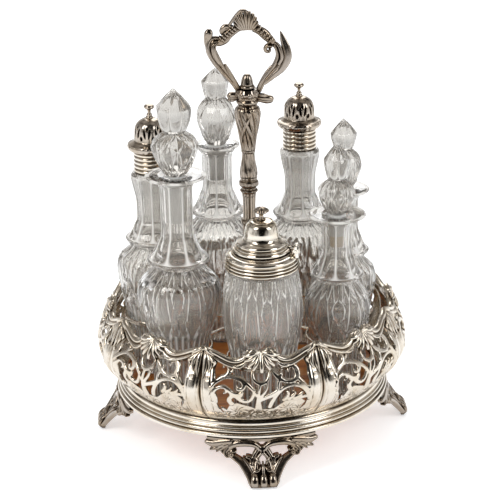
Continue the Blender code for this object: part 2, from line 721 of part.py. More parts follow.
def guard_ring(name, sizes, angle, mat):
    inner = ring_inner(sizes)
    outer = inner + RING_WALL
    profile = ((inner, 0.0), (outer, 0.0), (outer, RING_HEIGHT), (inner, RING_HEIGHT))
    place = polar(STATION_RADIUS, angle, FRAME_BOTTOM)
    add_object(name, turned(profile, RING_SEGMENTS, closed=True), mat, place, angle)


def frame_hub(stations, mat):
    """Star that ties the guard rings to the column."""
    half = ARM_WIDTH / 2
    outline = []
    for sizes, angle in sorted(stations, key=lambda item: item[1]):
        along = polar(1.0, angle)
        across = Vector((-along.y, along.x, 0.0))
        reach = STATION_RADIUS - ring_inner(sizes) - RING_WALL - SEAT_GAP
        for distance, side in ((HUB_RADIUS, -1), (reach, -1), (reach, 1), (HUB_RADIUS, 1)):
            corner = along * distance + across * half * side
            outline.append((corner.x / MM, corner.y / MM))
    bore = ROD_RADIUS + SEAT_GAP
    steps = [360.0 * k / COLUMN_SEGMENTS for k in range(COLUMN_SEGMENTS)]
    hole = [tuple(polar(bore, step).xy / MM) for step in steps]

    def place(x, y, face):
        z = FRAME_BOTTOM + RING_HEIGHT / 2 + face * ARM_THICKNESS / 2
        return Vector((x * MM, y * MM, z))

    add_object("frame_hub", pierced_sheet(outline, [hole], [], place), mat)


# ---------------------------------------------------------------- bottles


def between(start, end, share):
    return start + (end - start) * share


def lower_body(sizes):
    """Cut body from the foot to its widest part, as (radius, height, twist)."""
    waist, body = sizes["waist"], sizes["body"]
    return [
        (sizes["base"], 0.0, 0.0),
        (*waist, 0.0),
        (between(waist[0], body[0], 0.56), between(waist[1], body[1], 0.44), 0.5),
        (*body, 0.0),
    ]


def upper_body(sizes):
    """From the shoulder through the notch and the ledge to the neck."""
    body, notch, ledge, neck = (sizes[k] for k in ("body", "notch", "ledge", "neck"))
    return [
        (between(notch[0], body[0], 0.62), between(body[1], notch[1], 0.6), 0.5),
        (*notch, 0.0),
        (*ledge, 0.0),
        (between(neck[0], ledge[0], 0.36), between(ledge[1], neck[1], 0.42), 0.5),
        (*neck, 0.0),
    ]


def cavity(sizes, wall):
    """Inside of the body, from the neck down."""
    points = [
        (sizes["neck"][0] - wall, sizes["neck"][1]),
        (sizes["notch"][0] - wall, sizes["notch"][1]),
        (sizes["body"][0] - wall, sizes["body"][1]),
        (sizes["waist"][0] - wall, sizes["waist"][1]),
        (sizes["base"] - wall - 1.0, GLASS_BASE / MM),
    ]
    return [(r, h, 0.0) for r, h in points]


def bottle_object(name, points, sizes, angle, mat, bend=None):
    profile = [(r * MM, h * MM, twist) for r, h, twist in points]
    solid = turned(profile, FACETS, bend=bend)
    place = polar(STATION_RADIUS, angle, GLASS_FOOT)
    return add_object(name, solid, mat, place, angle, sharp=12.0)


def stoppered_bottle(name, sizes, glass, spout=False):
    """Bottle with a flared lip and a ground neck for its stopper."""
    neck, lip, plug = sizes["neck"], sizes["lip"], sizes["plug"]
    wall = GLASS_WALL / MM
    ground = plug[0] + SEAT_GAP / MM
    outside = lower_body(sizes) + upper_body(sizes)
    rim = len(outside) + 2
    outside += [
        (neck[0], lip[1] - 9.0, 0.0),
        (neck[0] + 2.4, lip[1] - 4.4, 0.0),
        (lip[0], lip[1] - 1.5, 0.0),
        (lip[0] - 0.3, lip[1], 0.0),
    ]
    within = [
        (ground + PLUG_TAPER + 1.6, lip[1] - 0.6, 0.0),
        (ground + PLUG_TAPER, lip[1] - 4.0, 0.0),
        (ground, plug[1], 0.0),
    ]

    def pour(index, angle, point):
        if not rim <= index <= rim + 1:
            return point
        turn = math.radians(angle - SPOUT_ANGLE)
        reach = max(0.0, math.cos(turn)) ** 4 * SPOUT_REACH
        away = Vector((point.x, point.y, 0.0)).normalized()
        return point + away * reach

    points = outside + within + cavity(sizes, wall)
    bend = pour if spout else None
    bottle_object(name, points, sizes, sizes["angle"], glass, bend)


def stopper(name, sizes, glass):
    """Ground plug, diamond-cut ball, waist and pointed bud."""
    lip, plug, ball = sizes["lip"], sizes["plug"], sizes["ball"]
    nip, bud, tip = sizes["nip"], sizes["bud"], sizes["tip"]
    points = [
        (plug[0], plug[1] + 0.6, 0.0),
        (plug[0] + PLUG_TAPER, lip[1] - 4.0, 0.0),
        (plug[0] + PLUG_TAPER - 0.6, lip[1] + 1.5, 0.0),
        (between(plug[0], ball[0], 0.7), between(lip[1], ball[1], 0.6), 0.5),
        (*ball, 0.0),
        (between(nip[0], ball[0], 0.66), between(ball[1], nip[1], 0.55), 0.5),
        (*nip, 0.0),
        (*bud, 0.0),
        (bud[0] * 0.62, between(bud[1], tip, 0.52), 0.0),
        (0.8, tip, 0.0),
    ]
    bottle_object(name, points, sizes, sizes["angle"], glass)


# ---------------------------------------------------------------- shakers


def shaker_glass(name, angle, glass):
    """Sugar or pepper bottle: its neck ends in a plain finish inside the collar."""
    sizes = SHAKER
    shoulder, finish = sizes["shoulder"], sizes["finish"]
    bore = SHAKER_BORE / MM
    seat = COLLAR_BOTTOM / MM - SEAT_GAP / MM
    points = lower_body(sizes) + upper_body(sizes) + [
        (*shoulder, 0.0),
        (shoulder[0] - 1.6, seat, 0.0),
        (finish, seat, 0.0),
        (finish, COLLAR_TOP / MM - 1.0, 0.0),
        (bore, COLLAR_TOP / MM - 1.0, 0.0),
        (bore, sizes["neck"][1] + 8.0, 0.0),
    ]
    bottle_object(name, points + cavity(sizes, GLASS_WALL / MM), sizes, angle, glass)


def shaker_collar(name, angle, mat):
    """Reeded sleeve cemented on the glass finish."""
    bore = SHAKER["finish"] * MM + SEAT_GAP
    pitch = (COLLAR_TOP - COLLAR_BOTTOM) / (2 * COLLAR_REEDS)
    outside = []
    for k in range(2 * COLLAR_REEDS + 1):
        depth = REED_DEPTH if k % 2 == 0 else 0.0
        outside.append((COLLAR_RADIUS - depth, COLLAR_BOTTOM + pitch * k))
    profile = ((bore, COLLAR_BOTTOM), *outside, (bore, COLLAR_TOP))
    place = polar(STATION_RADIUS, angle, GLASS_FOOT)
    add_object(name, turned(profile, SILVER_SEGMENTS, closed=True), mat, place, angle)


def shaker_cap(name, angle, mat):
    """Lift-off cap: spigot, flange, pierced dome and button."""
    seat = COLLAR_TOP + SEAT_GAP
    flange, flange_height = CAP_FLANGE
    dome, dome_height = CAP_DOME
    rise = seat + flange_height
    crown = rise + dome_height
    spigot = SHAKER_BORE - SEAT_GAP
    top = seat + CAP_TOP
    profile = (
        (0.4 * MM, crown - CAP_WALL), (dome * 0.6, crown - CAP_WALL - 1.8 * MM),
        (dome - CAP_WALL, rise + 9.0 * MM), (dome - CAP_WALL, rise),
        (spigot - CAP_WALL, seat), (spigot - CAP_WALL, seat - CAP_SPIGOT),
        (spigot, seat - CAP_SPIGOT), (spigot, seat), (flange - 2.4 * MM, seat),
        (flange, seat + flange_height * 0.6), (flange - 1.6 * MM, rise - 0.4 * MM),
        (dome + 0.8 * MM, rise + 0.6 * MM), (dome, rise + 10.0 * MM),
        (dome * 0.62, crown - 1.6 * MM), (2.0 * MM, crown), (1.5 * MM, top - 3.4 * MM),
        (CAP_BUTTON, top - 2.0 * MM), (CAP_BUTTON * 0.7, top),
    )
    place = polar(STATION_RADIUS, angle, GLASS_FOOT)
    cap = add_object(name, turned(profile, SILVER_SEGMENTS), mat, place, angle)

    slots = bmesh.new()
    for k in range(CAP_SLOTS):
        turn = 360.0 * (k + 0.5) / CAP_SLOTS
        along = polar(1.0, turn)
        across = Vector((-along.y, along.x, 0.0)) * CAP_SLOT_WIDTH / 2
        near, far = along * dome * 0.62, along * (dome + 4.0 * MM)
        low, high = rise + 3.4 * MM, rise + 12.0 * MM
        corners = (near - across, far - across, far + across, near + across)
        bottom = [slots.verts.new(c + Vector((0, 0, low))) for c in corners]
        ceiling = [slots.verts.new(c + Vector((0, 0, high))) for c in corners]
        join_rings(slots, bottom, ceiling, 0.0)
        slots.faces.new(reversed(bottom))
        slots.faces.new(ceiling)
    boolean(cap, add_object(name + "_slots", slots, mat, place, angle), "DIFFERENCE")


# ---------------------------------------------------------------- mustard


def mustard_jar(glass):
    sizes = MUSTARD
    wall = GLASS_WALL / MM
    shoulder, finish, body = sizes["shoulder"], sizes["finish"], sizes["body"]
    seat, mouth = JAR_SEAT / MM, JAR_MOUTH / MM
    points = lower_body(sizes) + [
        (between(shoulder[0], body[0], 0.7), between(body[1], shoulder[1], 0.55), 0.5),
        (*shoulder, 0.0),
        (shoulder[0] - 0.8, seat, 0.0),
        (finish, seat, 0.0),
        (finish, mouth, 0.0),
        (finish - wall, mouth, 0.0),
        (finish - wall, shoulder[1], 0.0),
        (body[0] - wall, body[1], 0.0),
        (sizes["waist"][0] - wall, sizes["waist"][1], 0.0),
        (sizes["base"] - wall - 1.0, GLASS_BASE / MM, 0.0),
    ]
    bottle_object("mustard_jar", points, sizes, sizes["angle"], glass)


def mustard_place():
    return polar(STATION_RADIUS, MUSTARD["angle"], GLASS_FOOT)


def hinge_block(name, radial, width, low, high, mat):
    """Block at the hinge, between two distances from the jar's axis."""
    along = polar(1.0, HINGE_ANGLE)
    across = Vector((-along.y, along.x, 0.0))
    bm = bmesh.new()
    corners = [
        along * r + across * w
        for r, w in ((radial[0], width[0]), (radial[1], width[0]),
                     (radial[1], width[1]), (radial[0], width[1]))
    ]
    bottom = [bm.verts.new(c + Vector((0, 0, low))) for c in corners]
    top = [bm.verts.new(c + Vector((0, 0, high))) for c in corners]
    join_rings(bm, bottom, top, 0.0)
    bm.faces.new(reversed(bottom))
    bm.faces.new(top)
    return add_object(name, bm, mat, mustard_place())


def hinge_cylinder(name, radius, width, mat, sides=12):
    """Cylinder on the hinge's axis, between two distances along it."""
    along = polar(1.0, HINGE_ANGLE)
    across = Vector((-along.y, along.x, 0.0))
    sections = []
    for distance in width:
        centre = along * HINGE_RADIUS + across * distance + Vector((0, 0, HINGE_HEIGHT))
        ring = []
        for k in range(sides):
            turn = 2.0 * math.pi * k / sides
            ring.append(centre + along * radius * math.cos(turn)
                        + Vector((0, 0, radius * math.sin(turn))))
        sections.append(ring)
    return add_object(name, lofted(sections), mat, mustard_place())


def mustard_collar(mat):
    """Reeded collar round the jar's mouth, with the hinge's two ears."""
    low, high = JAR_SEAT + SEAT_GAP, JAR_COLLAR_TOP
    rim = JAR_MOUTH + SEAT_GAP
    bore = (MUSTARD["finish"] * MM + SEAT_GAP) / math.cos(math.pi / LID_SEGMENTS)
    wide = MUSTARD_COLLAR_RADIUS
    reeds = []
    for k in range(5):
        depth = REED_DEPTH if k % 2 else 0.0
        reeds.append((wide - depth - 0.2 * MM * k, low + 0.6 * MM + 1.9 * MM * k))
    profile = (
        (bore, low), *reeds, (bore + MUSTARD_COLLAR_WALL, rim),
        (LID_RADIUS + 0.9 * MM, high), (LID_RADIUS - 2.2 * MM, high),
        (LID_RADIUS - 2.2 * MM, rim), (bore, rim),
    )
    collar = add_object(
        "mustard_collar", turned(profile, LID_SEGMENTS, closed=True), mat,
        mustard_place(), HINGE_ANGLE,
    )
    inner = KNUCKLE_WIDTH / 2 + HINGE_PLAY
    outer = inner + KNUCKLE_WIDTH
    reach = (bore + 0.2 * MM, HINGE_RADIUS + KNUCKLE_RADIUS * 0.9)
    low_ear, high_ear = high - 7.0 * MM, HINGE_HEIGHT - EAR_STEP
    for side, width in (("front", (-outer, -inner)), ("back", (inner, outer))):
        cheeks = (width[0] + EAR_STEP, width[1] - EAR_STEP)
        ear = hinge_block(f"ear_{side}", reach, cheeks, low_ear, high_ear, mat)
        boolean(collar, ear, "UNION")
        knuckle = hinge_cylinder(f"ear_knuckle_{side}", KNUCKLE_RADIUS, width, mat)
        boolean(collar, knuckle, "UNION")
    drill = hinge_cylinder(
        "collar_drill", PIN_RADIUS + HINGE_PLAY, (-2 * outer, 2 * outer), mat
    )
    boolean(collar, drill, "DIFFERENCE")


def mustard_lid(mat):
    """Domed lid with the hinge's middle knuckle."""
    low, top = LID_BOTTOM, LID_TOP
    rim, dome = LID_RADIUS, LID_DOME_RADIUS
    wall = CAP_WALL
    profile = (
        (0.4 * MM, top - wall), (dome - 3.6 * MM, top - wall - 1.8 * MM),
        (dome - wall, top - 7.4 * MM), (dome - wall, low + 9.0 * MM),
        (rim - 4.8 * MM, low + 5.6 * MM), (rim - 3.4 * MM, low), (rim, low),
        (rim, low + 3.4 * MM), (rim - 2.6 * MM, low + 4.8 * MM),
        (rim - 3.6 * MM, low + 7.6 * MM), (dome + 0.6 * MM, low + 10.2 * MM),
        (dome, low + 14.0 * MM), (dome - 0.6 * MM, top - 5.6 * MM),
        (dome - 4.4 * MM, top - 1.4 * MM), (2.6 * MM, top),
    )
    lid = add_object(
        "mustard_lid", turned(profile, LID_SEGMENTS), mat, mustard_place(), HINGE_ANGLE
    )
    half = KNUCKLE_WIDTH / 2
    leaf = hinge_block(
        "lid_leaf", (rim - 1.6 * MM, HINGE_RADIUS), (-half, half),
        low + 1.0 * MM, low + 3.0 * MM, mat,
    )
    boolean(lid, leaf, "UNION")
    boolean(lid, hinge_cylinder("lid_knuckle", KNUCKLE_RADIUS, (-half, half), mat), "UNION")
    drill = hinge_cylinder("lid_drill", PIN_RADIUS + HINGE_PLAY, (-2 * half, 2 * half), mat)
    boolean(lid, drill, "DIFFERENCE")


def mustard_fittings(mat):
    """Hinge pin and the lid's button, seated on the lid's top."""
    reach = KNUCKLE_WIDTH * 1.5 + HINGE_PLAY + 0.6 * MM
    hinge_cylinder("hinge_pin", PIN_RADIUS, (-reach, reach), mat)
    low, high = LID_TOP + SEAT_GAP, LID_TOP + BUTTON_HEIGHT
    profile = (
        (2.6 * MM, low), (1.8 * MM, low + 2.0 * MM), (2.2 * MM, low + 4.4 * MM),
        (BUTTON_RADIUS, low + 6.0 * MM), (BUTTON_RADIUS - 0.6 * MM, low + 7.4 * MM),
        (2.6 * MM, high - 0.8 * MM), (1.0 * MM, high),
    )
    add_object("lid_button", turned(profile, FACETS), mat, mustard_place())


# ---------------------------------------------------------------- assembly


def stand(silver, wood):
    base_moulding(silver)
    floor_board(wood)
    for k in range(LOBES):
        centre = LOBE_ANGLE * k
        gallery_panel(f"gallery_panel_{k + 1}", centre, silver)
        rim_border(f"rim_border_{k + 1}", centre, silver)
    for k in range(FOOT_COUNT):
        foot(f"foot_{k + 1}", 360.0 * k / FOOT_COUNT, silver)
    column_rod(silver)
    column_pieces(silver)
    handle_loop(silver)
    handle_finial(silver)
    underside_fixings(silver)
    stations = (
        ("mustard_ring", MUSTARD, MUSTARD["angle"]), ("soy_ring", SOY, SOY["angle"]),
        ("sauce_ring", SAUCE, SAUCE["angle"]), ("pepper_ring", SHAKER, PEPPER_ANGLE),
        ("vinegar_ring", VINEGAR, VINEGAR["angle"]), ("sugar_ring", SHAKER, SUGAR_ANGLE),
        ("oil_ring", OIL, OIL["angle"]),
    )
    for name, sizes, angle in stations:
        guard_ring(name, sizes, angle, silver)
    frame_hub([station[1:] for station in stations], silver)


def bottles(silver, glass):
    for name, sizes in (("oil", OIL), ("vinegar", VINEGAR), ("soy", SOY), ("sauce", SAUCE)):
        stoppered_bottle(f"{name}_bottle", sizes, glass, spout=name == "sauce")
        stopper(f"{name}_stopper", sizes, glass)
    for name, angle in (("pepper", PEPPER_ANGLE), ("sugar", SUGAR_ANGLE)):
        shaker_glass(f"{name}_bottle", angle, glass)
        shaker_collar(f"{name}_collar", angle, silver)
        shaker_cap(f"{name}_cap", angle, silver)
    mustard_jar(glass)
    mustard_collar(silver)
    mustard_lid(silver)
    mustard_fittings(silver)


def main():
    clear_scene()
    silver = material("silver_plate", (0.78, 0.74, 0.68), metallic=1.0, roughness=0.16)
    wood = material("mahogany", (0.42, 0.19, 0.08), roughness=0.45)
    glass = material("cut_glass", (0.97, 0.98, 0.98), roughness=0.02, transmission=1.0)
    stand(silver, wood)
    bottles(silver, glass)


main()
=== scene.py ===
"""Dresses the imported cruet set: cut glass, cast and pierced silver plate, a mahogany floor.

Lengths in the tables are in millimetres, in the CAD frame: +Z up, the front is -Y, angles
are in degrees from the front, growing towards +X. Meshes are written in metres.
"""

import math

import bpy
import numpy as np
from mathutils import Matrix, Vector


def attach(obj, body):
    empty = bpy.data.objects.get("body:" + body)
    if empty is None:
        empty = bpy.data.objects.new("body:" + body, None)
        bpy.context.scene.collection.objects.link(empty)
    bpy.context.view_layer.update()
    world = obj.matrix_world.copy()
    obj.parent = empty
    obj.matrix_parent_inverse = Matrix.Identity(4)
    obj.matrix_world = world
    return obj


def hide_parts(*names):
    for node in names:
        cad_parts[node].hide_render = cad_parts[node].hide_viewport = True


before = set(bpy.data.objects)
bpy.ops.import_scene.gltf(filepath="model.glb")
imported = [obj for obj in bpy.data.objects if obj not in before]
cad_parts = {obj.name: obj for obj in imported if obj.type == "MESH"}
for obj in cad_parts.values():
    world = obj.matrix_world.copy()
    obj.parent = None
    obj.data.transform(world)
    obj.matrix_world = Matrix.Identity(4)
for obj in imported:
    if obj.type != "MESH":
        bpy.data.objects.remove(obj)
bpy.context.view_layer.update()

MM = 0.001
TAU = 2.0 * math.pi

# ---------------------------------------------------------------- sizes shared with the CAD

BASE_BOTTOM, BASE_TOP = 35.2, 48.0
BASE_RADIUS = 110.0
BOARD_BOTTOM, BOARD_TOP = 38.7, 43.7
GLASS_FOOT = 44.0
STATION_RADIUS = 78.0
RING_BOTTOM, RING_TOP = 88.0, 92.0
GLASS_WALL = 3.2
LOBES = 8
HALF_LOBE_ANGLE = 180.0 / LOBES
GALLERY_PROFILE = (
    (0.0, 103.8), (6.0, 110.0), (13.0, 116.6), (21.0, 121.2), (30.0, 123.0),
    (39.0, 121.3), (47.0, 116.6), (54.0, 112.2), (60.0, 110.2), (70.0, 109.6),
)
BOTTLES = {
    "oil": dict(
        angle=311.5, cells=8, base=22.0, waist=(22.4, 50.0), body=(33.0, 94.0),
        notch=(18.6, 115.0), ledge=(24.0, 120.0), neck=(13.2, 142.0), lip=(23.3, 187.0),
        plug=(7.4, 150.0), ball=(18.5, 211.0), nip=(8.4, 221.6), bud=(13.8, 238.6), tip=255.0,
    ),
    "vinegar": dict(
        angle=196.0, cells=8, base=20.6, waist=(21.0, 46.0), body=(31.0, 88.0),
        notch=(17.4, 108.0), ledge=(22.6, 112.6), neck=(12.4, 134.0), lip=(19.0, 170.0),
        plug=(7.0, 140.0), ball=(17.0, 195.0), nip=(8.0, 209.8), bud=(11.4, 223.0), tip=234.5,
    ),
    "soy": dict(
        angle=56.5, cells=6, base=18.6, waist=(19.0, 34.0), body=(26.6, 72.0),
        notch=(15.6, 94.0), ledge=(20.7, 98.6), neck=(11.6, 118.0), lip=(22.4, 148.0),
        plug=(6.2, 122.0), ball=(15.2, 165.0), nip=(6.8, 176.4), bud=(10.4, 191.0), tip=205.6,
    ),
    "sauce": dict(
        angle=100.5, cells=6, base=18.6, waist=(19.0, 34.0), body=(26.5, 74.0),
        notch=(15.6, 92.0), ledge=(20.4, 97.0), neck=(11.6, 117.0), lip=(20.6, 148.4),
        plug=(6.2, 122.0), ball=(15.2, 170.0), nip=(6.8, 181.8), bud=(10.5, 193.6), tip=206.6,
    ),
}
SHAKER = dict(
    cells=7, base=19.6, waist=(20.4, 34.0), body=(30.5, 90.0), notch=(18.0, 107.6),
    ledge=(22.4, 113.0), neck=(12.8, 131.0), shoulder=(16.6, 164.6),
)
SHAKERS = {"pepper": 144.0, "sugar": 257.5}
MUSTARD = dict(
    angle=3.0, cells=8, base=23.4, waist=(24.2, 40.0), body=(31.3, 88.0),
    shoulder=(27.4, 118.4),
)
HINGE_ANGLE = 80.0
HINGE_RADIUS, HINGE_HEIGHT = 26.2, 136.0

WHITE = (1.0, 1.0, 1.0)

# the "cut" of a point is a distance in mm, apart from these values
NO_CUT, UNCUT_ROW, CAVITY_LIMIT, CAVITY = -1.0, -3.0, -4.0, -5.0
# a cut that is less deep than this, in mm, counts as none
SHALLOW = 0.04

# ---------------------------------------------------------------- nodes


def put(tree, made, key, value):
    """Gives an input a value, or links a socket to it."""
    if isinstance(value, bpy.types.NodeSocket):
        tree.links.new(value, made.inputs[key])
    else:
        made.inputs[key].default_value = value


def fill(tree, made, **inputs):
    """Puts inputs by name, with underscores for spaces."""
    for key, value in inputs.items():
        put(tree, made, key.replace("_", " "), value)


def node(tree, kind, *places, **inputs):
    """New node, its inputs put in by place or by name."""
    made = tree.nodes.new("ShaderNode" + kind)
    for key, value in enumerate(places):
        put(tree, made, key, value)
    fill(tree, made, **inputs)
    return made


def ramp(tree, source, stops):
    """Colors that a value from 0 to 1 runs through."""
    made = node(tree, "ValToRGB", source)
    elements = made.color_ramp.elements
    while len(elements) < len(stops):
        elements.new(0.5)
    for element, (place, color) in zip(elements, stops):
        element.position = place
        element.color = (*color, 1.0)
    return made.outputs["Color"]


def multiply(tree, a, b, factor=1.0):
    """Color a darkened by color b."""
    made = tree.nodes.new("ShaderNodeMix")
    made.data_type = "RGBA"
    made.blend_type = "MULTIPLY"
    fill(tree, made, Factor=factor, A=a, B=b)
    return made.outputs["Result"]


def compute(tree, operation, *values):
    """A sum on numbers and sockets."""
    made = node(tree, "Math", *values)
    made.operation = operation
    return made.outputs[0]


def halved(tree, source):
    """A value from -1 to 1, as one from 0 to 1."""
    return compute(tree, "MULTIPLY_ADD", source, 0.5, 0.5)


def noise(tree, place, scale, detail, roughness, distortion=0.0):
    made = node(tree, "TexNoise", Vector=place, Scale=scale, Detail=detail,
                Roughness=roughness, Distortion=distortion)
    return made.outputs["Fac"]


def spread(tree, source, low, high, to_low=0.0, to_high=1.0, kind="LINEAR"):
    """Maps the range from low to high onto another one."""
    made = node(tree, "MapRange", Value=source, From_Min=low, From_Max=high, To_Min=to_low,
                To_Max=to_high)
    made.interpolation_type = kind
    return made.outputs["Result"]


def rise(tree, place, low, high):
    """0 to 1 between two heights in mm."""
    parts = node(tree, "SeparateXYZ", place)
    return spread(tree, parts.outputs["Z"], low * MM, high * MM)


def bumped(tree, height, strength, distance):
    made = node(tree, "Bump", Strength=strength, Distance=distance * MM, Height=height)
    return made.outputs["Normal"]


def cut_value(tree):
    """The "cut" that the meshes carry."""
    made = tree.nodes.new("ShaderNodeAttribute")
    made.attribute_name = "cut"
    return made.outputs["Fac"]


def blend(tree, share, first, second):
    """Mixes two shaders, with a share of the second."""
    return node(tree, "MixShader", share, first.outputs[0], second.outputs[0])


# ---------------------------------------------------------------- materials


def material(name):
    """New material with its tree, its shader and its place on the object."""
    mat = bpy.data.materials.new(name)
    mat.use_nodes = True
    tree = mat.node_tree
    place = tree.nodes.new("ShaderNodeTexCoord").outputs["Object"]
    return mat, tree, tree.nodes["Principled BSDF"], place


def surface(tree, share, first, second):
    """Gives the material a mix of two shaders."""
    both = blend(tree, share, first, second)
    tree.links.new(both.outputs[0], tree.nodes["Material Output"].inputs["Surface"])


def silver_plate(name, tone=(0.76, 0.715, 0.65), dark=(0.05, 0.036, 0.025), reach=3.0,
                 rough=(0.09, 0.22), wear=0.4, dents=0.06, shade_and_tarnish_stop=0.45, slots=False):
    """Silver plate: bright on what stands out, with painted shade and brown tarnish in what lies
    deep.
    """
    mat, tree, shader, place = material(name)
    # painted shade: ambient occlusion darkens the colour in the hollows, mixed with brown tarnish
    deep = node(tree, "AmbientOcclusion", Distance=reach * MM)
    deep.samples = 8
    crevice_shade_and_tarnish = ramp(tree, deep.outputs["AO"], (
        (0.0, dark), (shade_and_tarnish_stop, (0.24, 0.19, 0.145)), (0.5 * shade_and_tarnish_stop + 0.57, (0.72, 0.67, 0.60)),
        (1.0, WHITE),
    ))
    cloud = noise(tree, place, 42.0, 5.0, 0.62)
    low = tuple(c * (1.0 - wear * k) for c, k in zip(tone, (0.40, 0.55, 0.80)))
    tint = ramp(tree, cloud, ((0.30, low), (0.62, tone)))
    stain = ramp(tree, noise(tree, place, 64.0, 7.0, 0.68, 0.8), (
        (0.55, WHITE), (0.64, (0.80, 0.70, 0.58)), (0.76, (0.55, 0.43, 0.31)),
    ))
    color = multiply(tree, multiply(tree, tint, crevice_shade_and_tarnish), stain, wear)
    # painted shade: the recessed slots are painted near black, standing in for the dark inside of
    # a pierced cap
    if slots:
        gap = spread(tree, cut_value(tree), -1.0, -0.45)
        hole = ramp(tree, gap, ((0.0, (0.004, 0.003, 0.002)), (1.0, WHITE)))
        color = multiply(tree, color, hole)
    gloss = spread(tree, noise(tree, place, 320.0, 4.0, 0.6), 0.3, 0.75, *rough)
    fill(tree, shader, Metallic=1.0, Base_Color=color, Roughness=gloss,
         Normal=bumped(tree, cloud, dents, 0.4))
    return mat


def cut_glass(name, low=(0.97, 0.955, 0.925), high=(0.60, 0.585, 0.555)):
    """Lead glass, its colour painted greyer towards the neck as shade, with painted highlights on
    the ridges between cuts and painted shade in the cuts.
    """
    mat, tree, shader, place = material(name)
    wave = noise(tree, place, 130.0, 3.0, 0.5)
    # painted shade: the base colour turns greyer from 80 mm up to 125 mm, towards the neck
    tint = ramp(tree, rise(tree, place, 80.0, 125.0), ((0.0, low), (1.0, high)))
    fill(tree, shader, Base_Color=tint, Roughness=spread(tree, wave, 0.35, 0.8, 0.03, 0.08),
         Normal=bumped(tree, wave, 0.03, 0.5), Transmission_Weight=1.0, IOR=1.5,
         Coat_Weight=0.6, Coat_Roughness=0.01)

    # milky diffuse share: a veil everywhere, more on the ridges, and none in the cavity; its
    # colour is a painted highlight on the ridges and painted shade away from them
    veil, ridge = 0.25, 0.80
    cut = cut_value(tree)
    sharp = spread(tree, cut, -0.48, -0.06, veil, ridge, "SMOOTHSTEP")
    veil_with_painted_ridge_light = node(tree, "BsdfDiffuse", Color=ramp(tree, sharp, (
        (veil, (0.60, 0.55, 0.485)), (ridge, (0.98, 0.955, 0.91)),
    )))
    outside = compute(tree, "GREATER_THAN", cut, CAVITY_LIMIT)
    rays = tree.nodes.new("ShaderNodeLightPath")
    seen = compute(tree, "MULTIPLY_ADD", rays.outputs["Is Camera Ray"], 0.75, 0.25)
    shown = compute(tree, "MULTIPLY_ADD", outside, seen, 0.0)
    surface(tree, compute(tree, "MULTIPLY", shown, sharp), shader, veil_with_painted_ridge_light)
    return mat


def ground_glass(name, stain=None):
    """Frosted glass of the ground plugs, stained tan between two heights in mm."""
    mat, tree, shader, place = material(name)
    grit = noise(tree, place, 900.0, 3.0, 0.7)
    shade = ramp(tree, grit, ((0.3, (0.80, 0.80, 0.78)), (0.7, (0.95, 0.95, 0.94))))
    if stain:
        tan = ramp(tree, rise(tree, place, *stain), (
            (0.0, (0.74, 0.50, 0.24)), (0.9, (0.88, 0.68, 0.38)), (1.0, WHITE),
        ))
        shade = multiply(tree, shade, tan)
    fill(tree, shader, Base_Color=shade, Transmission_Weight=1.0, IOR=1.5,
         Roughness=spread(tree, grit, 0.0, 1.0, 0.26, 0.46))
    surface(tree, 0.6, shader, node(tree, "BsdfDiffuse", Color=shade))
    return mat


def mahogany(name):
    """Polished reddish wood, its grain along X."""
    mat, tree, shader, place = material(name)
    grain, pores = (
        node(tree, "Mapping", Vector=place, Scale=scale).outputs["Vector"]
        for scale in ((9.0, 120.0, 120.0), (90.0, 1500.0, 1500.0))
    )
    color = ramp(tree, noise(tree, grain, 1.0, 8.0, 0.65, 0.6), (
        (0.28, (0.34, 0.082, 0.012)), (0.5, (0.64, 0.205, 0.036)),
        (0.72, (0.84, 0.34, 0.080)),
    ))
    fine = noise(tree, pores, 1.0, 3.0, 0.6)
    fill(tree, shader, Base_Color=color, Roughness=spread(tree, fine, 0.0, 1.0, 0.30, 0.52),
         Normal=bumped(tree, fine, 0.25, 0.15))
    return mat


# ---------------------------------------------------------------- mesh tools


def cubic(a, b, c, d, t):
    """Catmull-Rom point between b and c."""
    return 0.5 * (2 * b + (c - a) * t + (2 * a - 5 * b + 4 * c - d) * t * t
                  + (3 * b - a - 3 * c + d) * t**3)


def spline(points, per=8):
    """Smooth curve through points. A third value of 1 marks a sharp corner."""
    runs = [[]]
    for point in points:
        flat = tuple(point[:2])
        runs[-1].append(flat)
        if len(point) > 2:
            runs.append([flat])
    out = []
    for run in runs:
        if len(run) < 2:
            continue
        p = np.array([run[0], *run, run[-1]], float)
        for k in range(1, len(p) - 2):
            steps = np.linspace(0.0, 1.0, per, endpoint=False)
            out += [cubic(*p[k - 1:k + 3], t) for t in steps]
        out.append(p[-2])
    return np.array(out)


def path3(points, count):
    """Catmull-Rom path through rows of numbers, resampled to a count of rows."""
    p = np.array(points, float)
    p = np.vstack([2 * p[0] - p[1], p, 2 * p[-1] - p[-2]])
    steps = np.linspace(0.0, len(points) - 1 - 1e-9, count)
    return np.array([cubic(*p[int(t):int(t) + 4], t - int(t)) for t in steps])


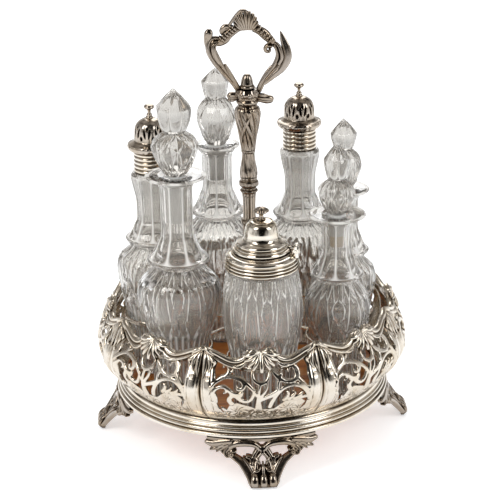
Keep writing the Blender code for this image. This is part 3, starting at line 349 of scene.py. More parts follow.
class Builder:
    """Gathers the skins of one piece, in millimetres."""

    def __init__(self):
        self.verts = []
        self.faces = []
        self.marks = []
        self.depths = []
        self.count = 0

    def add(self, verts, blocks, marks=None):
        """Adds points and blocks of faces. Marks are the material numbers of the faces."""
        verts = np.asarray(verts, float).reshape(-1, 3)
        self.faces += [np.asarray(block, np.int64) + self.count for block in blocks]
        number = sum(len(block) for block in blocks)
        self.marks.append(np.zeros(number, int) if marks is None else marks)
        self.verts.append(verts)
        self.depths.append(np.full(len(verts), NO_CUT))
        self.count += len(verts)

    def skin(self, rings, closed=False, marks=None):
        """Skin over an array of rings, shape (rows, around, 3), closed round each ring.

        Marks are the material numbers of the bands between the rings."""
        rows, around = rings.shape[:2]
        index = np.arange(rows * around).reshape(rows, around)
        low, high = index[:-1], index[1:]
        if closed:
            low, high = index, np.roll(index, -1, axis=0)
        quads = np.stack(
            [low, np.roll(low, -1, axis=1), np.roll(high, -1, axis=1), high], axis=-1
        )
        verts = rings.reshape(-1, 3)
        blocks = [quads.reshape(-1, 4)]
        if not closed:
            for row in (0, rows - 1):
                ring = index[row]
                pair = (ring, np.roll(ring, -1)) if row else (np.roll(ring, -1), ring)
                blocks.append(np.stack([*pair, np.full(around, len(verts))], axis=-1))
                verts = np.vstack([verts, rings[row].mean(axis=0)])
        if marks is not None:
            marks = np.repeat([*marks, marks[0], marks[0]], around)
        self.add(verts, blocks, marks)

    def turned(self, profile, segments, relief=None, closed=False, marks=None, inside=10000):
        """Surface of revolution, with relief(angle, height, radius) added outwards.

        The rows from inside on are a cavity: they get no relief and carry no cut."""
        profile = np.asarray(profile, float)
        angle = np.linspace(0.0, TAU, segments, endpoint=False)[None, :]
        plain = np.repeat(profile[:, :1], segments, axis=1)
        height = np.repeat(profile[:, 1:2], segments, axis=1)
        outer = np.arange(len(profile))[:, None] < inside
        radius = plain
        if relief is not None:
            radius = plain + relief(angle, height, plain) * outer
        rings = np.stack([radius * np.sin(angle), -radius * np.cos(angle), height], axis=-1)
        self.skin(rings, closed, marks)
        if relief is not None:
            measure = getattr(relief, "ridge", relief)
            depth = measure(angle, height, plain)
            if measure is not relief:
                uncut = depth.min(axis=1, keepdims=True) > -0.05
                depth = np.where(uncut, UNCUT_ROW, depth)
            depth = np.where(outer, depth, CAVITY)
            self.depths[-1][:depth.size] = depth.ravel()

    def tube(self, path, radii, sides=14, flat=1.0, normal=(0.0, 1.0, 0.0), ribs=0.0):
        """Tube along a path. flat scales it along the normal; ribs groove it lengthwise."""
        path = np.asarray(path, float)
        radii = np.broadcast_to(np.asarray(radii, float), (len(path),))
        along = np.gradient(path, axis=0)
        along /= np.linalg.norm(along, axis=1)[:, None] + 1e-12
        normal = np.broadcast_to(np.asarray(normal, float), path.shape)
        across = np.cross(normal, along)
        across /= np.linalg.norm(across, axis=1)[:, None] + 1e-12
        up = np.cross(along, across)
        turn = np.linspace(0.0, TAU, sides, endpoint=False)
        wave = 1.0 - ribs * (0.5 + 0.5 * np.cos(turn * 4)) ** 2.5
        c, s = np.cos(turn) * wave, np.sin(turn) * wave * flat
        offset = c[None, :, None] * across[:, None, :] + s[None, :, None] * up[:, None, :]
        self.skin(path[:, None, :] + radii[:, None, None] * offset)

    def hug(self, path, radii, sides=10, flat=1.0):
        """Tube whose flattened side faces away from the stand's axis."""
        self.tube(path, radii, sides, flat, normal=path * (1, 1, 0))

    def vine(self, where, rows, count=12, sides=10, flat=1.0):
        """Tube on a bent sheet, through rows of (x, height, distance in front, radius)."""
        fine = path3(rows, count)
        self.hug(where(*fine[:, :3].T), fine[:, 3], sides, flat)

    def blob(self, centre, size, rows=10, sides=16):
        """Egg with half sizes along three axes."""
        lat = np.linspace(-math.pi / 2 + 0.02, math.pi / 2 - 0.02, rows)
        lon = np.linspace(0.0, TAU, sides, endpoint=False)
        x = np.cos(lat)[:, None] * np.cos(lon)[None, :] * size[0]
        y = np.cos(lat)[:, None] * np.sin(lon)[None, :] * size[1]
        z = np.sin(lat)[:, None] * np.ones(sides)[None, :] * size[2]
        self.skin(np.stack([x, y, z], axis=-1) + np.asarray(centre, float))

    def object(self, name, mats, body, slot, nodes=(), at=(0, 0, 0), turn=0.0, sharp=35.0):
        verts = np.vstack(self.verts) * MM
        mesh = bpy.data.meshes.new(name)
        mesh.vertices.add(len(verts))
        mesh.vertices.foreach_set("co", verts.astype(np.float32).ravel())
        loops = np.concatenate([block.ravel() for block in self.faces])
        sizes = np.concatenate([np.full(len(b), b.shape[1]) for b in self.faces])
        starts = np.concatenate([[0], np.cumsum(sizes)[:-1]])
        mesh.loops.add(len(loops))
        mesh.loops.foreach_set("vertex_index", loops.astype(np.int32))
        mesh.polygons.add(len(sizes))
        mesh.polygons.foreach_set("loop_start", starts.astype(np.int32))
        mesh.polygons.foreach_set("material_index", np.concatenate(self.marks).astype(np.int32))
        depth = mesh.attributes.new("cut", "FLOAT", "POINT")
        depth.data.foreach_set("value", np.concatenate(self.depths).astype(np.float32))
        mesh.update(calc_edges=True)
        mesh.validate()
        for mat in mats:
            mesh.materials.append(mat)
        mesh.shade_smooth()
        mesh.set_sharp_from_angle(angle=math.radians(sharp))
        return place(bpy.data.objects.new(name, mesh), body, slot, nodes, at, turn)


def place(item, body, slot, nodes=(), at=(0, 0, 0), turn=0.0):
    """Sets an object at a point in mm and tells what it rides on and replaces."""
    bpy.context.scene.collection.objects.link(item)
    item.location = Vector(at) * MM
    item.rotation_euler = (0.0, 0.0, math.radians(turn))
    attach(item, body)
    if nodes:
        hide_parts(*nodes)
    return item


def turned_piece(name, mat, body, slot, replaced, profile, sides, at=(0, 0, 0), turn=0.0,
                 sharp=35.0, **how):
    """An object that is one surface of revolution."""
    builder = Builder()
    builder.turned(profile, sides, **how)
    builder.object(name, [mat], body, slot, [replaced], at, turn, sharp)


def around_stand(builder, name, replaced, mat, count, sharp):
    """Equal pieces set evenly round the stand, numbered from 1."""
    first = builder.object(f"{name}_1", [mat], "stand", "silver", [f"{replaced}_1"],
                           sharp=sharp)
    for k in range(1, count):
        place(bpy.data.objects.new(f"{name}_{k + 1}", first.data), "stand", "silver",
              [f"{replaced}_{k + 1}"], turn=360.0 / count * k)


def polar(radius, angle, z=0.0):
    """Point at an angle in degrees from the front."""
    turn = math.radians(angle)
    return np.array([radius * math.sin(turn), -radius * math.cos(turn), z])


def spot(angle):
    """Foot of the bottle at a station."""
    return polar(STATION_RADIUS, angle, GLASS_FOOT)


# ---------------------------------------------------------------- flat designs as distances


def capsule(x, y, stroke):
    """Distance inside a stroke of (x, y, half width) points, positive within."""
    best = np.full(np.broadcast(x, y).shape, -1e9)
    for (ax, ay, ar), (bx, by, br) in zip(stroke, stroke[1:]):
        dx, dy = bx - ax, by - ay
        t = ((x - ax) * dx + (y - ay) * dy) / (dx * dx + dy * dy + 1e-12)
        t = np.clip(t, 0.0, 1.0)
        gap = np.hypot(x - ax - t * dx, y - ay - t * dy)
        best = np.maximum(best, ar + (br - ar) * t - gap)
    return best


def curl(cx, cy, start, turns, outer, inner, wide, thin, count=26):
    """Spiral stroke: from an outer radius to an inner one, starting at an angle."""
    out = []
    for t in np.linspace(0.0, 1.0, count):
        angle = math.radians(start) + turns * TAU * t
        radius = outer + (inner - outer) * t**0.8
        out.append((cx + radius * math.cos(angle), cy + radius * math.sin(angle),
                    wide + (thin - wide) * t))
    return out


def smooth_stroke(points, per=5):
    return [tuple(row) for row in path3(points, per * (len(points) - 1) + 1)]


def polygon(x, y, loop):
    """Signed distance to a closed loop, positive within."""
    best = np.full(x.shape, 1e9)
    hit = np.zeros(x.shape, bool)
    for (ax, ay), (bx, by) in zip(loop, list(loop[1:]) + [loop[0]]):
        dx, dy = bx - ax, by - ay
        t = np.clip(((x - ax) * dx + (y - ay) * dy) / (dx * dx + dy * dy + 1e-12), 0, 1)
        best = np.minimum(best, np.hypot(x - ax - t * dx, y - ay - t * dy))
        if abs(dy) > 1e-12:
            cross = ((ay > y) != (by > y)) & (x < dx * (y - ay) / dy + ax)
            hit ^= cross
    return np.where(hit, best, -best)


def sheet(builder, xs, ys, metal, lift, where, thick):
    """Pierced sheet: keeps the cells where metal > 0 and snaps their edge to its outline.

    metal(x, y) is a distance, lift(x, y, metal) the relief in front and where(x, y, out)
    the point in space at a distance in front of the sheet's middle.
    """
    x, y = np.meshgrid(xs, ys)
    value = metal(x, y)
    mid_x = (x[:-1, :-1] + x[1:, 1:]) / 2
    mid_y = (y[:-1, :-1] + y[1:, 1:]) / 2
    keep = metal(mid_x, mid_y) > 0
    index = np.arange(x.size).reshape(x.shape)
    corners = (index[:-1, :-1], index[:-1, 1:], index[1:, 1:], index[1:, :-1])
    quads = np.stack([c[keep] for c in corners], axis=-1)
    used = np.zeros(x.size, int)
    for column in range(4):
        np.add.at(used, quads[:, column], 1)
    used = used.reshape(x.shape)
    edge = (used > 0) & (used < 4)
    inner = np.zeros(x.shape, bool)
    inner[1:-1, 1:-1] = True
    edge &= inner
    step = 0.05
    for _ in range(3):
        slope_x = (metal(x + step, y) - metal(x - step, y)) / (2 * step)
        slope_y = (metal(x, y + step) - metal(x, y - step)) / (2 * step)
        size = slope_x**2 + slope_y**2 + 1e-6
        limit = 0.55 * (xs[1] - xs[0])
        move = np.clip(-value / size, -limit, limit)
        x = np.where(edge, x + move * slope_x, x)
        y = np.where(edge, y + move * slope_y, y)
        value = metal(x, y)
    front = where(x, y, thick / 2 + lift(x, y, np.maximum(value, 0.0)))
    back = where(x, y, np.full(x.shape, -thick / 2))
    sides = np.concatenate([quads[:, [k, (k + 1) % 4]] for k in range(4)])
    key = np.sort(sides, axis=1)
    flat = key[:, 0].astype(np.int64) * x.size + key[:, 1]
    _, first, number = np.unique(flat, return_index=True, return_counts=True)
    rim = sides[first[number == 1]]
    total = x.size
    walls = np.stack([rim[:, 1], rim[:, 0], rim[:, 0] + total, rim[:, 1] + total], axis=-1)
    verts = np.vstack([front.reshape(-1, 3), back.reshape(-1, 3)])
    faces = np.vstack([quads, quads[:, ::-1] + total, walls])
    live = np.unique(faces)
    renumber = np.zeros(len(verts), np.int64)
    renumber[live] = np.arange(len(live))
    builder.add(verts[live], [renumber[faces]])


# ---------------------------------------------------------------- stand


def gallery_radius(height):
    """Distance of the gallery's sheet from the axis, at a height above the ring."""
    knots = np.array(GALLERY_PROFILE)
    fine = spline([tuple(k) for k in knots], 8)
    order = np.argsort(fine[:, 0])
    return np.interp(height, fine[order, 0], fine[order, 1])


def crease(height, angle):
    """How far the sheet falls in where two lobes meet."""
    near = np.clip(1.0 - (HALF_LOBE_ANGLE - np.abs(angle)) / 4.2, 0.0, 1.0)
    return 1.5 * np.clip(height / 13.0, 0.0, 1.0) * near**2


PER_DEGREE = math.radians(1.0) * BASE_RADIUS
HALF_LOBE = HALF_LOBE_ANGLE * PER_DEGREE - 0.01


def on_gallery(x, y, out):
    """Point on the gallery: x along it from a lobe's centre, y above the base ring."""
    x, y, out = np.broadcast_arrays(x, y, out)
    angle = x / PER_DEGREE
    radius = gallery_radius(y) - crease(y, angle) + out
    turn = np.radians(angle)
    return np.stack([radius * np.sin(turn), -radius * np.cos(turn), BASE_TOP + y], axis=-1)


RAIL = (
    (0.0, 57.6), (3.4, 59.6), (6.4, 60.0), (9.4, 57.8), (13.0, 54.6), (17.5, 53.0),
    (22.5, 53.2), (28.5, 55.2), (34.5, 57.6), (40.0, 59.0), (43.2, 59.6),
)


def rail_height(x):
    """Middle of the border's rail above the ring."""
    fine = spline(RAIL, 6)
    return np.interp(np.abs(x), fine[:, 0], fine[:, 1])


def gallery_straps():
    """Pierced scrollwork of a lobe, as (x, height, half width) strokes."""
    rows = (
        # right: the scroll with its eye, its flame and its leaves
        [(7.0, 47.6, 0.8), (9.4, 44.9, 1.6), (12.4, 41.9, 1.8), (16.6, 39.7, 1.5),
         (20.8, 39.4, 1.5), (24.1, 41.3, 1.9), (25.2, 44.6, 2.1), (24.5, 47.8, 2.1),
         (22.2, 49.5, 1.7), (19.8, 48.8, 1.3), (18.8, 46.4, 0.9)],
        [(23.0, 49.4, 1.9), (22.6, 51.8, 1.3), (21.4, 54.0, 0.8)],
        [(11.8, 43.0, 1.5), (13.8, 44.6, 1.1), (13.6, 46.2, 0.5)],
        # arch from the field up to the pilaster
        [(5.0, 19.0, 1.6), (6.6, 24.4, 1.6), (9.8, 30.4, 1.5), (14.2, 34.8, 1.5),
         (19.4, 36.7, 1.6), (24.6, 36.3, 1.9), (28.8, 33.2, 1.9), (31.4, 28.6, 1.8),
         (32.6, 24.0, 1.8)],
        [(25.6, 40.6, 1.6), (28.2, 36.8, 1.8), (31.0, 32.4, 1.8)],
        [(11.8, 41.0, 1.2), (10.8, 37.2, 1.2), (10.6, 33.6, 1.4), (7.4, 30.6, 1.9),
         (3.0, 28.6, 1.8), (-1.6, 26.0, 1.6)],
        # tendrils under the arch
        [(14.6, 25.2, 1.6), (17.0, 28.4, 1.4), (17.6, 31.2, 1.0), (15.9, 32.4, 0.7)],
        [(18.0, 25.6, 1.8), (20.8, 28.2, 1.3), (22.4, 30.4, 0.9), (21.2, 32.2, 0.6)],
        [(22.0, 25.6, 1.8), (25.6, 27.8, 1.4), (27.4, 30.2, 0.8)],
        [(23.0, 25.2, 2.0), (28.0, 26.2, 1.6), (32.0, 26.0, 1.4)],
        # cartouche under the shell, the stem and its flames
        [(-6.0, 49.6, 1.0), (-6.6, 45.4, 1.2), (-5.2, 41.4, 1.3), (-1.0, 38.9, 1.5),
         (3.4, 41.0, 1.3), (5.2, 45.4, 1.1), (5.0, 49.6, 0.9)],
        [(-1.2, 39.0, 1.3), (-2.4, 33.0, 1.3), (-2.7, 26.0, 1.7), (-2.6, 16.0, 2.8)],
        [(3.6, 39.6, 0.9), (2.4, 34.6, 1.2), (-1.4, 28.6, 1.6)],
        # left: the long branch with its fork and hanging volute
        [(-35.0, 36.0, 1.2), (-32.0, 39.6, 1.4), (-28.2, 42.6, 1.7), (-23.6, 43.9, 1.5),
         (-18.2, 43.1, 1.5), (-13.6, 41.3, 1.7), (-9.8, 38.6, 1.6), (-6.6, 35.0, 1.4),
         (-3.6, 30.0, 1.4)],
        [(-25.0, 43.9, 1.6), (-23.2, 47.0, 1.3), (-23.9, 50.2, 1.1), (-26.4, 51.0, 0.9),
         (-27.6, 49.4, 0.6)],
        [(-23.4, 46.2, 1.2), (-20.6, 47.6, 1.0), (-20.0, 50.8, 0.7)],
        [(-13.4, 41.0, 1.8), (-12.4, 38.0, 1.6), (-13.8, 35.4, 1.6), (-16.6, 35.2, 1.3),
         (-17.2, 37.2, 0.8)],
        # left: the low arch, its leaf and the bowl beside the stem
        [(-35.0, 29.0, 1.6), (-32.8, 33.4, 1.5), (-29.6, 36.2, 1.4), (-26.0, 36.4, 1.4),
         (-22.6, 34.0, 1.6), (-19.6, 31.0, 2.2), (-16.0, 30.4, 2.4), (-13.8, 32.4, 1.3)],
        [(-17.0, 29.2, 2.0), (-14.4, 26.2, 1.8), (-10.6, 25.0, 1.5), (-7.8, 27.0, 1.4),
         (-6.0, 31.0, 1.3), (-5.4, 34.6, 1.2)],
        [(-20.6, 30.0, 1.8), (-22.6, 26.4, 1.8), (-21.0, 23.0, 2.0)],
        [(-25.0, 35.6, 1.0), (-24.4, 33.0, 1.0), (-26.2, 31.8, 0.7)],
        [(-33.4, 24.0, 1.6), (-30.0, 19.0, 1.4), (-25.4, 15.0, 1.8)],
    )
    return [smooth_stroke(row, 4) for row in rows]


STRAPS = gallery_straps()
FIELD_TOP = (
    (-46.0, 10.0), (-28.0, 12.0), (-24.5, 17.0), (-22.0, 22.0), (-17.0, 23.5), (-12.0, 21.5),
    (-7.5, 19.6), (-3.0, 17.0), (3.0, 16.6), (8.0, 17.2), (12.0, 21.0), (16.0, 24.4),
    (21.0, 24.8), (27.0, 24.2), (30.0, 21.0), (46.0, 10.0),
)
# centres of the engraved sprays: x, height, reach, number of leaves
SPRAYS = (
    (-17.0, 15.5, 6.5, 9), (-24.0, 9.0, 5.0, 7), (-8.0, 9.0, 6.0, 8), (2.0, 12.0, 5.0, 7),
    (9.5, 8.5, 5.5, 8), (18.0, 17.5, 7.0, 10), (26.0, 16.0, 5.0, 8), (23.0, 7.5, 5.0, 7),
)


PILASTER = (
    (45.0, -2.0), (45.0, 66.0), (32.0, 66.0), (31.4, 57.0), (31.8, 53.0), (33.2, 47.6),
    (32.2, 42.6), (32.8, 38.0), (31.8, 32.6), (30.6, 27.4), (30.6, 19.6), (28.0, 12.6),
    (26.0, 9.0), (20.0, -2.0),
)


def strap_distance(x, y):
    """Distance inside the nearest strap."""
    return np.max([capsule(x, y, stroke) for stroke in STRAPS], axis=0)


def gallery_metal(x, y):
    """Distance inside a panel's metal: straps, pilasters, field and rail."""
    ax = np.abs(x)
    best = strap_distance(x, y)
    best = np.maximum(best, polygon(ax, y, PILASTER))
    knots = np.array(FIELD_TOP)
    best = np.maximum(best, np.interp(x, knots[:, 0], knots[:, 1]) - y)
    wedge = polygon(ax, y, ((31.4, 23.6), (30.2, 18.0), (26.8, 12.8), (28.2, 18.8)))
    best = np.minimum(best, -wedge)
    best = np.maximum(best, y - rail_height(x) + 3.4)
    best = np.minimum(best, rail_height(x) - y)
    best = np.minimum(best, y - 0.3)
    return np.minimum(best, HALF_LOBE - ax)


def gallery_lift(x, y, metal):
    """Flat straps with bevelled edges, swelling pilasters and an engraved field."""
    ax = np.abs(x)
    strap = np.clip(strap_distance(x, y) / 0.75, 0.0, 1.0)
    strap = 0.85 * strap * (2.0 - strap)
    edge = np.clip(metal / 0.6, 0.0, 1.0)
    post = np.clip((ax - 31.0) / 4.5, 0.0, 1.0) * np.clip((43.6 - ax) / 5.0, 0.0, 1.0)
    swell = 2.3 * np.sin(post * math.pi / 2) * np.exp(-((y - 32.0) / 20.0) ** 2)
    field = np.clip((26.0 - y) / 3.0, 0.0, 1.0) * np.clip((y - 2.4) / 2.0, 0.0, 1.0)
    field *= np.clip((30.0 - ax) / 3.0, 0.0, 1.0)
    engraved = np.zeros(x.shape)
    for cx, cy, reach, leaves in SPRAYS:
        dx, dy = x - cx, y - cy
        far = np.hypot(dx, dy)
        spray = np.sin(leaves * np.arctan2(dy, dx) + 0.8 * far)
        engraved += spray * np.exp(-((far - 0.45 * reach) / (0.5 * reach)) ** 2)
    engraved = 0.36 * np.clip(engraved, -1.0, 1.0) * field * edge
    grooves = sum(
        np.exp(-((ax - centre - 0.05 * (y - 30.0)) / 0.4) ** 2) for centre in (34.6, 40.6)
    )
    grooves = -0.55 * grooves * np.clip((50 - y) / 8, 0, 1) * np.clip((y - 6) / 8, 0, 1)
    return np.maximum(strap, 0.25 * edge) + swell + engraved + grooves * (ax > 31.0)


def gallery_panel_mesh():
    builder = Builder()
    step = 0.46
    xs = np.arange(-HALF_LOBE, HALF_LOBE + step / 2, 2 * HALF_LOBE / round(2 * HALF_LOBE / step))
    ys = np.arange(0.3, 60.6, step)
    sheet(builder, xs, ys, gallery_metal, gallery_lift, on_gallery, 0.9)
    return builder


def rim_border_mesh():
    """Cast rail with its groove, the shell, its curls and the leaves at the ribs."""
    builder = Builder()
    xs = np.linspace(-HALF_LOBE, HALF_LOBE, 150)
    top = rail_height(xs)
    swell = 1.16 + 0.22 * np.exp(-((np.abs(xs) - 12.0) / 6.0) ** 2)
    section = spline([
        (0.7, -2.9), (-1.3, -2.4), (-1.5, 0.2), (-0.6, 2.5), (1.2, 2.9), (2.7, 1.9),
        (2.5, 0.5), (1.7, -0.1), (2.5, -0.9), (2.4, -2.0), (1.5, -2.7), (0.7, -2.9),
    ], 3)[:-1]
    out, up = (section[None, :, axis] * swell[:, None] for axis in (0, 1))
    builder.skin(on_gallery(xs[:, None], top[:, None] + up, out))

    # shell: flutes fanned from the middle of the border
    ts = np.linspace(0.0, 1.0, 14)
    for k in range(-4, 5):
        side = 1 if k > 0 else -1
        lean = math.radians((0.0, 15.0, 31.0, 49.0, 68.0)[abs(k)] * side)
        reach = (14.2, 13.6, 13.0, 12.6, 12.0)[abs(k)]
        bend = math.radians(9.0) * side * (k != 0)
        px = np.sin(lean + bend * ts) * (1.2 + reach * ts)
        py = 61.4 - np.cos(lean + bend * ts) * (0.2 + reach * ts)
        out = 2.4 + 2.0 * np.sin(ts * 2.4) - 1.2 * ts**3
        radius = 0.60 + 1.30 * np.sin(np.clip(ts * 1.08, 0, 1) * math.pi * 0.80)
        builder.hug(on_gallery(px, py, out), radius, flat=0.95)
    for side in (-1, 1):
        # curl beside the shell, and its tendril
        stroke = np.array(curl(side * 9.3, 60.0, 180.0 if side > 0 else 0.0, -side * 0.86,
                               3.0, 0.5, 1.25, 0.7))
        out = np.linspace(1.4, 3.2, len(stroke))
        builder.hug(on_gallery(stroke[:, 0], stroke[:, 1], out), stroke[:, 2])
        builder.vine(on_gallery, [
            (side * 11.4, 52.8, 2.2, 0.7), (side * 15.0, 50.6, 2.6, 0.9),
            (side * 18.6, 50.2, 2.4, 0.9), (side * 21.4, 51.4, 1.8, 0.6),
        ], sides=8)
        # half of the leaf that covers the rib: three ribbed lobes and the stem
        for number, (dx, low, wide) in enumerate(((1.2, 42.0, 1.5), (5.0, 45.5, 1.15),
                                                  (8.2, 50.0, 1.0))):
            builder.vine(on_gallery, [
                (side * (HALF_LOBE - 0.9 - 0.3 * dx), 59.6 - 0.6 * number, 2.4, 0.9),
                (side * (HALF_LOBE - 1.4 - 0.8 * dx), 55.4 - 0.6 * number, 3.4, 1.5 * wide),
                (side * (HALF_LOBE - 1.5 - 1.0 * dx), (55.4 + low) / 2, 2.9, 1.35 * wide),
                (side * (HALF_LOBE - 1.0 - 0.9 * dx), low, 2.3, 0.35),
            ], 16, flat=0.75)
        builder.blob(on_gallery(side * (HALF_LOBE - 5.6), 42.6, 2.6), (1.5, 1.5, 1.9))
        builder.vine(on_gallery, [
            (side * (HALF_LOBE - 8.4), 57.2, 1.4, 1.5), (side * (HALF_LOBE - 5.0), 59.4, 1.8, 1.8),
            (side * (HALF_LOBE - 2.4), 61.4, 2.2, 1.5), (side * (HALF_LOBE - 0.9), 63.2, 1.6, 0.9),
        ])
    return builder


def gallery(silver):
    around_stand(gallery_panel_mesh(), "dressed_gallery_panel", "gallery_panel", silver, LOBES,
                 50.0)
    around_stand(rim_border_mesh(), "dressed_rim_border", "rim_border", silver, LOBES, 50.0)


def base_ring(silver, wood):
    low, high, out = BASE_BOTTOM, BASE_TOP, BASE_RADIUS
    profile = spline([
        (95.0, low + 1.6, 1), (105.6, low, 1), (out - 1.2, low, 1), (out - 0.2, low + 0.6),
        (out, low + 1.6), (out - 0.3, low + 2.8), (out - 1.4, low + 3.4, 1),
        (out - 2.2, low + 3.8, 1), (out - 1.5, low + 4.3), (out - 1.3, low + 5.2),
        (out - 1.7, low + 6.1), (out - 2.4, low + 6.5, 1), (out - 3.0, low + 6.9, 1),
        (out - 2.6, low + 7.6), (out - 3.0, low + 8.5), (out - 3.8, low + 8.9, 1),
        (out - 4.1, low + 9.3, 1), (out - 4.0, low + 10.2), (out - 4.4, low + 11.8),
        (out - 5.2, high, 1), (102.1, high, 1), (102.1, low + 3.2, 1), (95.1, low + 3.2, 1),
        (95.0, low + 1.6, 1),
    ], 5)
    # the spline has its corners twice, and its last point is its first
    apart = np.hypot(*np.diff(profile, axis=0).T) > 0.02
    turned_piece("base_ring", silver, "stand", "silver", "base_moulding",
                 profile[:-1][apart], 220, sharp=32.0, closed=True)

    top = BOARD_TOP
    turned_piece("mahogany_floor", wood, "stand", "wood", "floor_board", spline([
        (6.0, BOARD_BOTTOM, 1), (101.6, BOARD_BOTTOM, 1), (101.8, top - 0.5),
        (101.2, top, 1), (6.2, top, 1), (6.0, top - 0.3, 1), (6.0, BOARD_BOTTOM + 0.05, 1),
    ], 4), 160, sharp=30.0, closed=True)


# ---------------------------------------------------------------- feet

FOOT_RADIUS = 107.4
FOOT_BEND = ((0.0, 1.0), (4.0, 0.96), (12.0, 0.6), (20.0, 0.26), (28.0, 0.05), (36.0, 0.0))


def foot_radius(y):
    """Distance of a foot's sheet from the stand's axis."""
    knots = np.array(FOOT_BEND)
    return FOOT_RADIUS + 16.0 * np.interp(y, knots[:, 0], knots[:, 1])


def on_foot(x, y, out):
    """Point on a foot: x along it from its middle, y above the table."""
    x, y, out = np.broadcast_arrays(x, y, out)
    turn = x / FOOT_RADIUS
    radius = foot_radius(y) + out
    return np.stack([radius * np.sin(turn), -radius * np.cos(turn), y], axis=-1)


# scrolls of a foot's right half: (x, height, half width) rows, and how high they stand
FOOT_SCROLLS = (
    # big scroll from the toe's shoulder out to its volute
    ([(7.6, 5.6, 2.6), (9.8, 10.4, 2.9), (12.8, 14.8, 2.8), (16.2, 18.2, 2.4),
      (19.8, 20.4, 2.1), (23.0, 22.6, 2.0), (22.8, 25.4, 1.6), (20.4, 25.2, 1.2)], 1.9),
    ([(5.8, 7.0, 1.2), (7.4, 12.4, 1.4), (10.4, 17.2, 1.3), (13.8, 20.6, 1.0)], 2.3),
    # volute under the ring
    ([(1.4, 27.2, 2.0), (6.0, 30.4, 2.3), (12.4, 31.4, 2.5), (19.0, 30.8, 2.6),
      (24.6, 28.2, 2.4), (27.4, 24.6, 2.0), (26.2, 21.8, 1.6), (23.8, 22.0, 1.2)], 1.9),
    ([(22.0, 31.8, 1.6), (27.6, 30.0, 1.7), (30.6, 26.6, 1.5), (29.4, 23.8, 1.0)], 1.2),
    # leaf out along the ring
    ([(24.0, 32.6, 2.1), (31.0, 31.0, 2.6), (37.0, 29.6, 2.7), (42.4, 30.4, 1.9)], 1.5),
    ([(30.0, 29.6, 2.0), (35.2, 27.0, 1.8), (39.0, 25.4, 0.9)], 1.7),
    ([(26.0, 30.0, 1.8), (31.0, 27.0, 1.5), (34.0, 24.4, 0.8)], 1.6),
    # arch above the toe
    ([(5.0, 13.4, 1.9), (4.6, 17.6, 1.6), (3.0, 21.6, 1.4), (0.6, 24.4, 1.5),
      (0.0, 27.4, 2.0)], 1.8),
    ([(8.4, 13.4, 1.8), (7.8, 18.2, 1.6), (5.8, 23.0, 1.6), (3.2, 27.0, 1.7)], 1.3),
    ([(11.4, 21.6, 1.3), (8.6, 20.6, 1.5), (8.0, 16.6, 1.3)], 1.6),
)
# the same, smoothed, with their height and largest half width
FOOT_STROKES = [(smooth_stroke(rows, 4), height, max(r for *_, r in rows))
                for rows, height in FOOT_SCROLLS]


def foot_metal(x, y):
    """Distance inside a foot's metal: scrolls, plate under the ring and toe."""
    ax = np.abs(x)
    best = np.max([capsule(ax, y, stroke) for stroke, *_ in FOOT_STROKES], axis=0)
    plate = polygon(ax, y, ((-4.0, 33.0), (-4.0, 36.0), (43.0, 36.0), (42.0, 33.0), (25.0, 31.0)))
    body = polygon(ax, y, ((-4.0, 1.0), (8.4, 1.0), (10.6, 5.0), (12.0, 9.6), (11.0, 14.0),
                           (6.0, 15.6), (-4.0, 15.4)))
    best = np.maximum(best, np.maximum(plate, body))
    return np.minimum(best, np.minimum(34.7 - y, y - 0.6))


def foot_lift(x, y, metal):
    """Round beads along the scrolls, over a plate with a round edge."""
    ax = np.abs(x)
    lift = 0.5 * np.sqrt(1.0 - (1.0 - np.minimum(metal / 1.6, 1.0)) ** 2)
    for stroke, height, widest in FOOT_STROKES:
        inside = np.maximum(capsule(ax, y, stroke), 0.0)
        bead = height * np.sqrt(1.0 - (1.0 - np.minimum(inside / widest, 1.0)) ** 2)
        lift = np.maximum(lift, 0.4 + bead)
    return lift


def foot_mesh():
    builder = Builder()
    step = 0.42
    xs = np.arange(-46.0, 46.0 + step / 2, step)
    ys = np.arange(0.6, 34.8, step)
    sheet(builder, xs, ys, foot_metal, foot_lift, on_foot, 2.6)

    # rolled toe: three lobes curling out at the table
    ts = np.linspace(0.0, 1.0, 18)
    for x0, wide in ((-6.0, 3.0), (0.0, 2.9), (6.0, 3.0)):
        turn = -0.9 + ts * 3.6
        y = 5.6 - 4.4 * np.cos(turn * 0.86 + 0.6) + 0.6
        out = 0.9 + 3.7 * np.sin(turn * 0.86 + 0.2)
        path = on_foot(x0, np.clip(y, wide * 0.62, None), out)
        builder.hug(path, wide * (0.72 + 0.28 * np.sin(ts * math.pi)), 12, 0.62)
    for side in (-1, 1):
        # brow and petal over the toe, and the eyes of the volutes
        builder.vine(on_foot, [
            (side * 1.6, 15.0, 3.0, 0.9), (side * 3.4, 13.2, 4.0, 1.2),
            (side * 6.2, 12.4, 3.6, 1.2), (side * 8.0, 10.0, 3.0, 0.9),
        ])
        builder.vine(on_foot, [
            (side * 2.2, 16.4, 2.2, 0.8), (side * 3.2, 18.8, 2.8, 1.5),
            (side * 4.6, 20.6, 2.2, 1.2), (side * 6.0, 21.2, 1.6, 0.5),
        ])
        builder.blob(on_foot(side * 22.8, 22.4, 2.0), (2.1, 2.1, 2.1))
        builder.blob(on_foot(side * 24.6, 24.0, 2.2), (1.5, 1.5, 1.5))
    builder.vine(on_foot, [(0.0, 18.6, 2.0, 0.7), (0.0, 15.4, 4.2, 1.3),
                           (0.0, 11.6, 4.6, 1.2), (0.0, 9.0, 4.6, 0.8)])
    return builder


def feet(silver):
    around_stand(foot_mesh(), "scroll_foot", "foot", silver, 4, 55.0)


# ---------------------------------------------------------------- column and handle


def shaft_panels(angle, height, radius):
    """Eight hollow flats along the shown part of the shaft."""
    waves = np.abs(np.sin(angle * 8 / 2)) ** 0.7
    zone = np.clip((height - 48.0) / 4.0, 0, 1) * np.clip((168.0 - height) / 2.0, 0, 1)
    return -0.42 * (1.0 - waves) * zone


